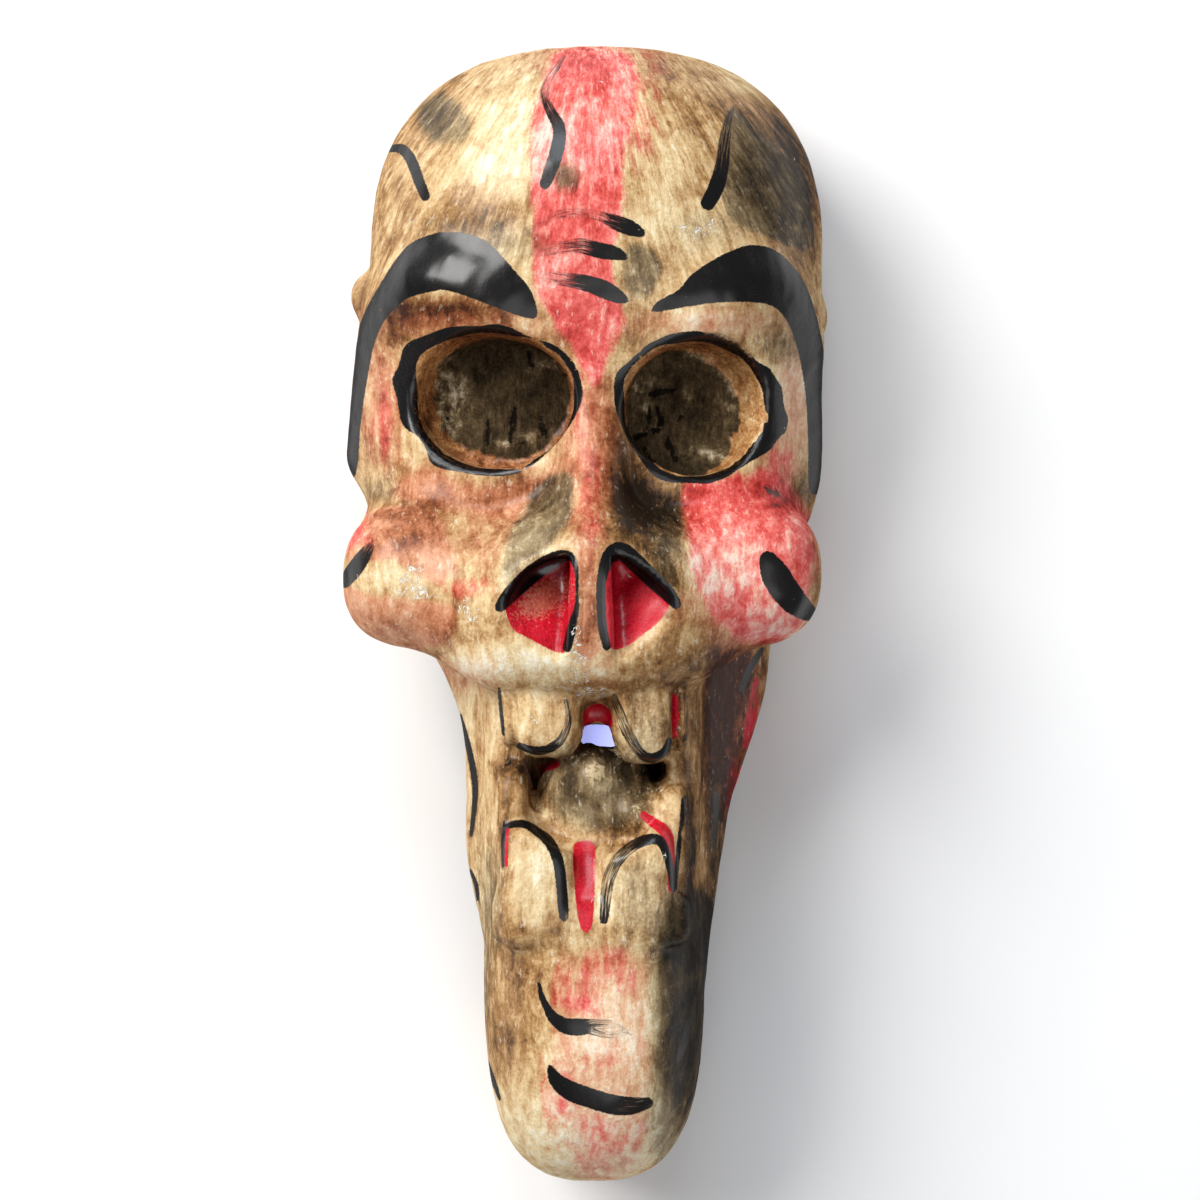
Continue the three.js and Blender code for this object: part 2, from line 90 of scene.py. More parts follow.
def curved(rows: tuple[Row, ...], pieces: int = 4, closed: bool = False) -> Array:
    """Put more rows on a smooth curve through the given rows.

    Args:
        rows: Points, with any widths after them.
        pieces: How many parts each stretch is cut into.
        closed: Whether the curve goes back to its start.

    Returns:
        The rows of the finer curve.
    """
    given = np.array(rows, float)
    count = len(given)
    made = []
    for i in range(count if closed else count - 1):
        if closed:
            a, b, c, d = (given[(i + n) % count] for n in (-1, 0, 1, 2))
        else:
            a, b, c, d = given[max(i - 1, 0)], given[i], given[i + 1], given[min(i + 2, count - 1)]
        for n in range(pieces):
            t = n / pieces
            made.append(b + 0.5 * t * (c - a + t * (2 * a - 5 * b + 4 * c - d + t * (3 * (b - c) + d - a))))
    if not closed:
        made.append(given[-1])
    return np.array(made)


class Noise:
    """Smooth noise on a seeded lattice, the same in every run."""

    def __init__(self, seed: int) -> None:
        """Lay out the lattice for a seed."""
        chance = np.random.default_rng(seed)
        self.order = np.tile(chance.permutation(256), 2)
        self.levels = chance.uniform(-1, 1, 256)

    def at(self, p: Array) -> Array:
        """Read the noise.

        Args:
            p: Points as three rows, in lattice steps.

        Returns:
            A value from -1 to 1 for each point.
        """
        low = np.floor(p).astype(int)
        t = p - low
        t = t * t * (3 - 2 * t)
        total = np.zeros(p.shape[1])
        for corner in range(8):
            step = np.array([corner & 1, corner >> 1 & 1, corner >> 2])
            i, j, k = (low + step[:, None]) & 255
            share = np.prod(np.where(step[:, None] == 1, t, 1 - t), axis=0)
            total += share * self.levels[self.order[self.order[self.order[i] + j] + k]]
        return total

    def layered(self, p: Array, layers: int = 3) -> Array:
        """Noise with finer noise on it, from about -1 to 1."""
        total = np.zeros(p.shape[1])
        for n in range(layers):
            total += self.at(p * 2.03 ** n + 17.3 * n) * 0.5 ** n
        return total

    def cells(self, p: Array) -> Array:
        """Distance to the nearest of one seeded point in each lattice cell, from 0 to about 1."""
        low = np.floor(p).astype(int)
        best = np.full(p.shape[1], 9.0)
        for n in range(27):
            cell = low + np.array([n % 3 - 1, n // 3 % 3 - 1, n // 9 - 1])[:, None]
            i, j, k = cell & 255
            key = self.order[self.order[self.order[i] + j] + k]
            place = cell + 0.5 + 0.42 * np.stack([self.levels[(key * m + m) & 255] for m in (1, 7, 13)])
            best = np.minimum(best, np.sqrt(((p - place) ** 2).sum(0)))
        return best


# The forms of the carving, in millimetres


@dataclass(frozen=True)
class Lump:
    """A superellipsoid, rounder at power 2 and squarer above it."""

    centre: Row
    radii: Row
    power: float = 2.0

    def distance(self, p: Array) -> Array:
        """Distance from its surface, negative inside."""
        n = self.power
        s = [np.abs(p[i] - self.centre[i]) / self.radii[i] + 1e-6 for i in range(3)]
        reach = (s[0] ** n + s[1] ** n + s[2] ** n) ** (1 / n)
        slope = np.sqrt(sum(((s[i] / reach) ** (n - 1) / self.radii[i]) ** 2 for i in range(3)))
        return (reach - 1) / slope


@dataclass(frozen=True)
class Bars:
    """A chain of round tapering bars, each row its x, y, z and radius."""

    rows: tuple[Row, ...]
    pieces: int = 1

    def distance(self, p: Array) -> Array:
        """Distance from its surface, negative inside."""
        rows = curved(self.rows, self.pieces) if self.pieces > 1 else np.array(self.rows, float)
        best = np.full(p.shape[1], np.inf)
        for start, end in zip(rows[:-1], rows[1:]):
            along = (end - start)[:3, None]
            away = p - start[:3, None]
            t = np.clip((away * along).sum(0) / (along ** 2).sum(), 0, 1)
            reach = np.sqrt(((away - along * t) ** 2).sum(0))
            best = np.minimum(best, reach - start[3] - (end[3] - start[3]) * t)
        return best


@dataclass(frozen=True)
class Socket:
    """An eye socket, an ellipse at the face and another at its floor, each as x, y and two radii."""

    mouth: Row
    floor: Row
    face: float = 97.0
    depth: float = 25.0

    def wall(self, p: Array) -> Array:
        """Distance from its side wall, negative inside."""
        t = np.clip((self.face - p[2]) / self.depth, -0.6, 1.2)
        x, y, a, b = (m + (f - m) * t for m, f in zip(self.mouth, self.floor))
        return (np.hypot((p[0] - x) / a, (p[1] - y) / b) - 1) * min(self.floor[2:])

    def distance(self, p: Array, blend: float = 5.0) -> Array:
        """Distance from the whole cut, negative inside."""
        return smooth_max(self.wall(p), self.face - self.depth - p[2], blend)


@dataclass(frozen=True)
class Nostril:
    """A wedge-shaped nose pocket: its wing side bows out and its floor rises to its lip."""

    apex: Row
    corner: Row
    foot: Row
    bow: float
    face: float = 118.0
    depth: float = 12.0

    @staticmethod
    def left_of(p: Array, a: Row, b: Row) -> Array:
        """Distance from the line from a to b in the plane of the face, positive on its left."""
        along = (b[0] - a[0], b[1] - a[1])
        return (along[0] * (p[1] - a[1]) - along[1] * (p[0] - a[0])) / math.hypot(*along)

    def distance(self, p: Array) -> Array:
        """Distance from the cut, negative inside."""
        turn = -np.sign(self.apex[0])
        septum = turn * self.left_of(p, self.foot, self.apex)
        across, down = self.corner[0] - self.apex[0], self.corner[1] - self.apex[1]
        run = ((p[0] - self.apex[0]) * across + (p[1] - self.apex[1]) * down) / (across ** 2 + down ** 2)
        t = np.clip(run, 0, 1)
        wing = turn * self.left_of(p, self.apex, self.corner) + self.bow * 4 * t * (1 - t)
        share = self.left_of(p, self.corner, self.foot) / self.left_of(self.apex, self.corner, self.foot)
        depth = self.depth * np.minimum(1, 1.5 * np.maximum(-0.3, share + 0.05))
        return smooth_max(smooth_max(-septum, -wing, 2), self.face - depth - p[2], 4)


@dataclass(frozen=True)
class Plate:
    """A plate beside the jaw: rows of a height and the half width there, running downwards."""

    rows: tuple[Row, ...]

    def half_width(self, y: Array) -> Array:
        """Half width at each height."""
        rows = curved(self.rows, 6)[::-1]
        return np.interp(y, rows[:, 0], rows[:, 1])


@dataclass(frozen=True)
class Carving:
    """All the forms of the block, which is solid where the distance is negative."""

    wall: float = 13.0
    socket_wall: float = 9.0
    nostril_wall: float = 9.0
    mouth_wall: float = 8.0
    breath: Row = (2, -47, 8, 96)
    plate_front: float = 60.0
    plate_slope: float = 1.25
    cranium: Lump = Lump((1.8, 127, 30), (81, 74.5, 80), 2.5)
    face: Lump = Lump((-3, 72, 26), (82, 62, 71), 3)
    maxilla: Lump = Lump((-2, 0, 80), (50, 30, 40), 2.8)
    muzzle: Lump = Lump((0, -40, 30), (38.5, 84, 60), 5)
    chin: Lump = Lump((0.8, -129, 34), (39.2, 72, 73), 2.8)
    nose: Lump = Lump((-1, 8, 88), (33, 27, 35), 2.2)
    tongue: tuple[Lump, ...] = (
        Lump((2, -66, 76), (21, 19.5, 20), 2.1),
        Lump((-1, -58, 83), (13, 14, 15)),
        Lump((13, -69, 87), (12, 9, 11)),
    )
    cheeks: tuple[Lump, ...] = (
        Lump((-58, 12.5, 74), (28, 24.5, 29), 2.5),
        Lump((52, 13.5, 74), (27, 25, 29), 2.5),
    )
    ears: tuple[Lump, ...] = (Lump((-79, 114, 34), (8, 9, 11)), Lump((78, 107, 32), (7, 9, 11)))
    mouth: Lump = Lump((0, -54, 84), (25, 16, 36), 3)
    scoop: Lump = Lump((0, -66, 104), (21, 15, 30), 2.2)
    lower_teeth: tuple[Lump, ...] = (
        Lump((0, -103, 88), (34, 10, 17.5), 5),
        Lump((-18.5, -92, 90), (13.5, 22, 18.5), 4),
        Lump((15.5, -92, 90), (13, 22, 18.5), 4),
        Lump((-27, -76, 80), (6, 25, 18), 4),
        Lump((27, -80, 80), (6.5, 22, 18), 4),
    )
    upper_teeth: tuple[Lump, ...] = (
        Lump((-14.5, -31, 90), (11.5, 18, 16), 4),
        Lump((17, -33, 90), (10.5, 18, 16), 4),
        Lump((-28, -31, 84), (2.5, 14, 16), 4),
        Lump((30.5, -31, 84), (2, 16, 16), 4),
    )
    brows: tuple[Bars, ...] = (
        Bars(((-20, 97, 92, 6), (-36, 108, 95, 11), (-54, 112, 87, 12), (-66, 101, 70, 10.5),
              (-73.5, 80, 58, 8), (-79, 56, 52, 7)), 4),
        Bars(((24, 98, 92, 6), (40, 107, 95, 11), (56, 110, 86, 12), (67, 99, 68, 11),
              (71, 78, 56, 8), (72.5, 52, 50, 8), (70, 38, 48, 7)), 4),
    )
    nose_ridge: Bars = Bars(((2, 100, 86, 9), (1, 70, 94, 8), (0, 42, 103, 9), (-1, 20, 109, 11)), 4)
    tooth_gap: Bars = Bars(((1.5, -30, 104, 2), (1.5, -53, 104, 12)))
    tooth_groove: Bars = Bars(((-2.5, -62, 110, 4.3), (-2.5, -80, 113, 4.3), (-2.5, -106, 112, 4.3)))
    side_grooves: tuple[Bars, ...] = (
        Bars(((-31, -70, 108, 2), (-31.5, -92, 108, 2))),
        Bars(((20, -66, 110, 2.2), (25, -78, 111, 2.2), (26.5, -98, 108, 2))),
    )
    jaw_grooves: tuple[Bars, ...] = (
        Bars(((-31, -60, 91, 2.4), (-32.5, -76, 91, 2.6), (-38, -89, 83, 3), (-42, -98, 62, 3)), 4),
        Bars(((34.5, -68, 92, 3), (35.5, -84, 90, 3), (39, -98, 82, 3), (43, -118, 60, 2.5)), 4),
    )
    left_plate: Plate = Plate(((40, 76), (12, 69), (-8, 61), (-28, 50.5), (-42, 46.2), (-60, 45), (-86, 45),
                               (-107, 40.4), (-118, 36)))
    right_plate: Plate = Plate(((40, 72), (12, 68), (-12, 65.5), (-28, 63.5), (-42, 59.5), (-57, 54),
                                (-71, 49.2), (-100, 44.5), (-128, 39.5), (-142, 33)))
    sockets: tuple[Socket, ...] = (
        Socket((-35.7, 71.6, 29.7, 23), (-30.2, 72, 24.4, 22)),
        Socket((38.4, 68.9, 27.6, 22.7), (31.5, 70, 20, 22)),
    )
    nostrils: tuple[Nostril, ...] = (
        Nostril((-7, 19), (-29, 0), (-9, -14), 6),
        Nostril((6.5, 20), (28, 2), (8, -13), 2),
    )

    def plates(self, p: Array) -> Array:
        """Distance to the plates below the cheeks."""
        x, y, z = p
        half = np.abs(x)
        left = x < 0
        side = half - np.where(left, self.left_plate.half_width(y), self.right_plate.half_width(y))
        back = np.maximum(half - self.muzzle.radii[0], -4) * self.plate_slope
        front = (z - self.plate_front + back) / math.hypot(1, self.plate_slope)
        top = np.where(left, self.left_plate.rows[0][0], self.right_plate.rows[0][0])
        foot = np.where(left, self.left_plate.rows[-1][0], self.right_plate.rows[-1][0])
        return smooth_max(smooth_max(side, front, 8), np.maximum(y - top, foot - y), 8)

    def skin(self, p: Array) -> Array:
        """Distance to the big closed forms, which the hollow follows."""
        head = smooth_min(self.cranium.distance(p), self.face.distance(p), 16)
        lip = smooth_min(head, self.maxilla.distance(p), 12)
        muzzle = smooth_min(lip, self.muzzle.distance(p), 6)
        return smooth_min(smooth_min(muzzle, self.plates(p), 5), self.chin.distance(p), 3)

    def hollow(self, p: Array, skin: Array) -> Array:
        """Distance to the hollow of the back, which keeps its walls."""
        cut = skin + self.wall
        for shape in self.sockets:
            cut = smooth_max(cut, self.socket_wall - shape.distance(p, 4), 6)
        for shape in self.nostrils:
            cut = smooth_max(cut, self.nostril_wall - shape.distance(p), 6)
        return smooth_max(cut, self.mouth_wall - self.mouth.distance(p), 6)

    def lower_jaw(self, p: Array) -> Array:
        """Distance to the block of lower teeth."""
        teeth = self.lower_teeth[0].distance(p)
        for tooth in self.lower_teeth[1:]:
            teeth = smooth_min(teeth, tooth.distance(p), 3)
        teeth = smooth_max(teeth, -self.scoop.distance(p), 3)
        teeth = smooth_max(teeth, -self.tooth_groove.distance(p), 1.5)
        for groove in self.side_grooves:
            teeth = smooth_max(teeth, -groove.distance(p), 1)
        return teeth

    def tongue_lumps(self, p: Array) -> Array:
        """Distance to the tongue."""
        lumps = self.tongue[0].distance(p)
        for lump in self.tongue[1:]:
            lumps = smooth_min(lumps, lump.distance(p), 4)
        return lumps

    def upper_jaw(self, p: Array) -> Array:
        """Distance to the upper teeth."""
        teeth = self.upper_teeth[0].distance(p)
        for tooth in self.upper_teeth[1:]:
            teeth = smooth_min(teeth, tooth.distance(p), 1.5)
        return smooth_max(teeth, -self.tooth_gap.distance(p), 2)

    def distance(self, p: Array) -> Array:
        """Measure the whole carving.

        Args:
            p: Points as three rows, in millimetres.

        Returns:
            Distance from the surface at each point, negative in the wood.
        """
        skin = self.skin(p)
        wood = smooth_min(skin, self.nose.distance(p), 16)
        wood = smooth_min(wood, self.nose_ridge.distance(p), 14)
        for cheek in self.cheeks:
            wood = smooth_min(wood, cheek.distance(p), 16)
        for brow in self.brows:
            wood = smooth_min(wood, brow.distance(p), 10)
        for ear in self.ears:
            wood = smooth_min(wood, ear.distance(p), 4)
        for shape in self.sockets:
            wood = smooth_max(wood, -shape.distance(p), 3)
        for shape in self.nostrils:
            wood = smooth_max(wood, -shape.distance(p), 2.5)
        wood = smooth_max(wood, -self.mouth.distance(p), 3)
        wood = smooth_min(wood, self.lower_jaw(p), 3)
        for groove in self.jaw_grooves:
            wood = smooth_max(wood, -groove.distance(p), 2)
        tongue = self.tongue_lumps(p)
        wood = smooth_min(wood, tongue, 3)
        wood = smooth_min(wood, self.upper_jaw(p), 2)
        wood = smooth_max(wood, -self.hollow(p, skin), 5)
        x, y, radius, front = self.breath
        hole = np.maximum(np.hypot(p[0] - x, p[1] - y) - radius, p[2] - front)
        return smooth_max(wood, -smooth_max(hole, -tongue, 1), 1.5)

    def outward(self, p: Array, step: float = 0.25) -> Array:
        """Unit direction out of the wood at each point."""
        slopes = []
        for axis in range(3):
            shift = np.zeros((3, 1))
            shift[axis] = step
            slopes.append(self.distance(p + shift) - self.distance(p - shift))
        way = np.stack(slopes)
        return way / np.maximum(np.sqrt((way ** 2).sum(0)), 1e-9)


# Marks laid on the front


class Place(Enum):
    """The part of the mask that a mark lies on."""

    SKIN = "skin"
    SOCKET = "socket"


class Tint(Enum):
    """A thin coat or stain that is laid over the ground; some also carry painted shade and painted light."""

    CREAM = "cream"
    PINK = "pink"
    SALMON = "salmon"
    OLIVE = "olive"
    BROWN = "brown"
    DIRT = "dirt"
    CHIPS = "chips"
    DUST = "dust"


def within(seen: Array, low: Array, high: Array) -> Array:
    """Which points of the view lie between two corners."""
    return (seen[0] > low[0]) & (seen[0] < high[0]) & (seen[1] > low[1]) & (seen[1] < high[1])


@dataclass(frozen=True)
class Sight:
    """The view straight down on the face, in steps of a picture 1200 wide, with the eye above the mask."""

    eye: float = 1000.0
    spread: float = 2672.0
    middle: Row = (592.0, 613.0)

    def seen(self, p: Array) -> Array:
        """Where points in millimetres are seen, as two rows."""
        scale = self.spread / (self.eye - p[2])
        return np.stack([self.middle[0] + p[0] * scale, self.middle[1] - p[1] * scale])

    def step(self, p: Array) -> Array:
        """Millimetres to a step of the view at each point."""
        return (self.eye - p[2]) / self.spread


@dataclass(frozen=True)
class Lay:
    """How a mark lies on some points: its edge, how dry it is, and how far along and across it they are."""

    edge: Array
    dry: Array
    along: Array
    across: Array


@dataclass(frozen=True)
class Stroke:
    """One pull of the brush. Each row is its place in the view, its half width and how dry it is."""

    rows: tuple[Row, ...]
    place: Place = Place.SKIN
    back: float = 20.0
    lean: float = 0.0

    def lay(self, seen: Array) -> Lay:
        """Lay the stroke on points of the view.

        Args:
            seen: The points, as two rows.

        Returns:
            Its lie there, in steps of the view.
        """
        rows = curved(tuple((*row, 0.0)[:4] for row in self.rows), 5)
        count = seen.shape[1]
        edge, dry, along, across = np.full(count, np.inf), np.zeros(count), np.zeros(count), np.zeros(count)
        run = 0.0
        for start, end in zip(rows[:-1], rows[1:]):
            way = (end - start)[:2]
            length = max(float(np.hypot(*way)), 1e-9)
            way = way / length
            away = seen - start[:2, None]
            far = way[0] * away[0] + way[1] * away[1]
            t = np.clip(far / length, 0, 1)
            wide = start[2] + (end[2] - start[2]) * t
            off = np.sqrt(((away - way[:, None] * length * t) ** 2).sum(0)) - wide
            nearer = off < edge
            edge = np.where(nearer, off, edge)
            dry = np.where(nearer, start[3] + (end[3] - start[3]) * t, dry)
            along = np.where(nearer, run + far, along)
            across = np.where(nearer, way[0] * away[1] - way[1] * away[0], across)
            run += length
        return Lay(edge, dry, along, across)


@dataclass(frozen=True)
class Shape:
    """A filled area of paint inside an outline, which ends higher on the sides by its lean."""

    rows: tuple[Row, ...]
    dry: float = 0.0
    place: Place = Place.SKIN
    back: float = 20.0
    lean: float = 0.0

    def lay(self, seen: Array) -> Lay:
        """Lay the area on points of the view.

        Args:
            seen: The points, as two rows.

        Returns:
            Its lie there, in steps of the view.
        """
        rows = curved(self.rows, 4, closed=True)
        best = np.full(seen.shape[1], np.inf)
        inside = np.zeros(seen.shape[1], bool)
        for start, end in zip(rows, np.roll(rows, -1, axis=0)):
            way = (end - start)[:, None]
            away = seen - start[:, None]
            t = np.clip((away * way).sum(0) / max((way ** 2).sum(), 1e-9), 0, 1)
            best = np.minimum(best, np.sqrt(((away - way * t) ** 2).sum(0)))
            if start[1] != end[1]:
                over = (start[1] > seen[1]) != (end[1] > seen[1])
                slope = (end[0] - start[0]) / (end[1] - start[1])
                inside ^= over & (seen[0] < slope * (seen[1] - start[1]) + start[0])
        edge = np.where(inside, -best, best)
        return Lay(edge, np.full(seen.shape[1], self.dry), seen[0], seen[1])


@dataclass(frozen=True)
class Ring:
    """Paint between two outlines."""

    outer: Shape
    inner: Shape
    place: Place = Place.SKIN
    back: float = 20.0
    lean: float = 0.0

    @property
    def rows(self) -> tuple[Row, ...]:
        """Its outline."""
        return self.outer.rows

    def lay(self, seen: Array) -> Lay:
        """Lay the ring on points of the view.

        Args:
            seen: The points, as two rows.

        Returns:
            Its lie there, in steps of the view.
        """
        lay = self.outer.lay(seen)
        return Lay(np.maximum(lay.edge, -self.inner.lay(seen).edge), lay.dry, lay.along, lay.across)


@dataclass(frozen=True)
class Area:
    """A tint inside an outline: how strong it is and how wide its soft edge is."""

    tint: Tint
    strength: float
    soft: float
    rows: tuple[Row, ...]

    def share(self, seen: Array) -> Array:
        """How much of the tint lies at each point of the view."""
        rows = np.array(self.rows)
        low, high = rows.min(0) - self.soft, rows.max(0) + self.soft
        at = np.flatnonzero(within(seen, low, high))
        made = np.zeros(seen.shape[1])
        if len(at):
            made[at] = self.strength * rise(-Shape(self.rows).lay(seen[:, at]).edge, -self.soft, self.soft)
        return made


@dataclass(frozen=True)
class Patch:
    """A soft area of a tint: its place in the view, its radii, strength, turn and edge."""

    tint: Tint
    at: Row
    radii: Row
    strength: float = 1.0
    turn: float = 0.0
    edge: float = 2.0

    def share(self, seen: Array) -> Array:
        """How much of the tint lies at each point of the view."""
        a = math.radians(self.turn)
        x, y = seen[0] - self.at[0], seen[1] - self.at[1]
        across = (x * math.cos(a) + y * math.sin(a)) / self.radii[0]
        down = (y * math.cos(a) - x * math.sin(a)) / self.radii[1]
        return self.strength * np.exp(-(0.7 * np.hypot(across, down) ** self.edge))


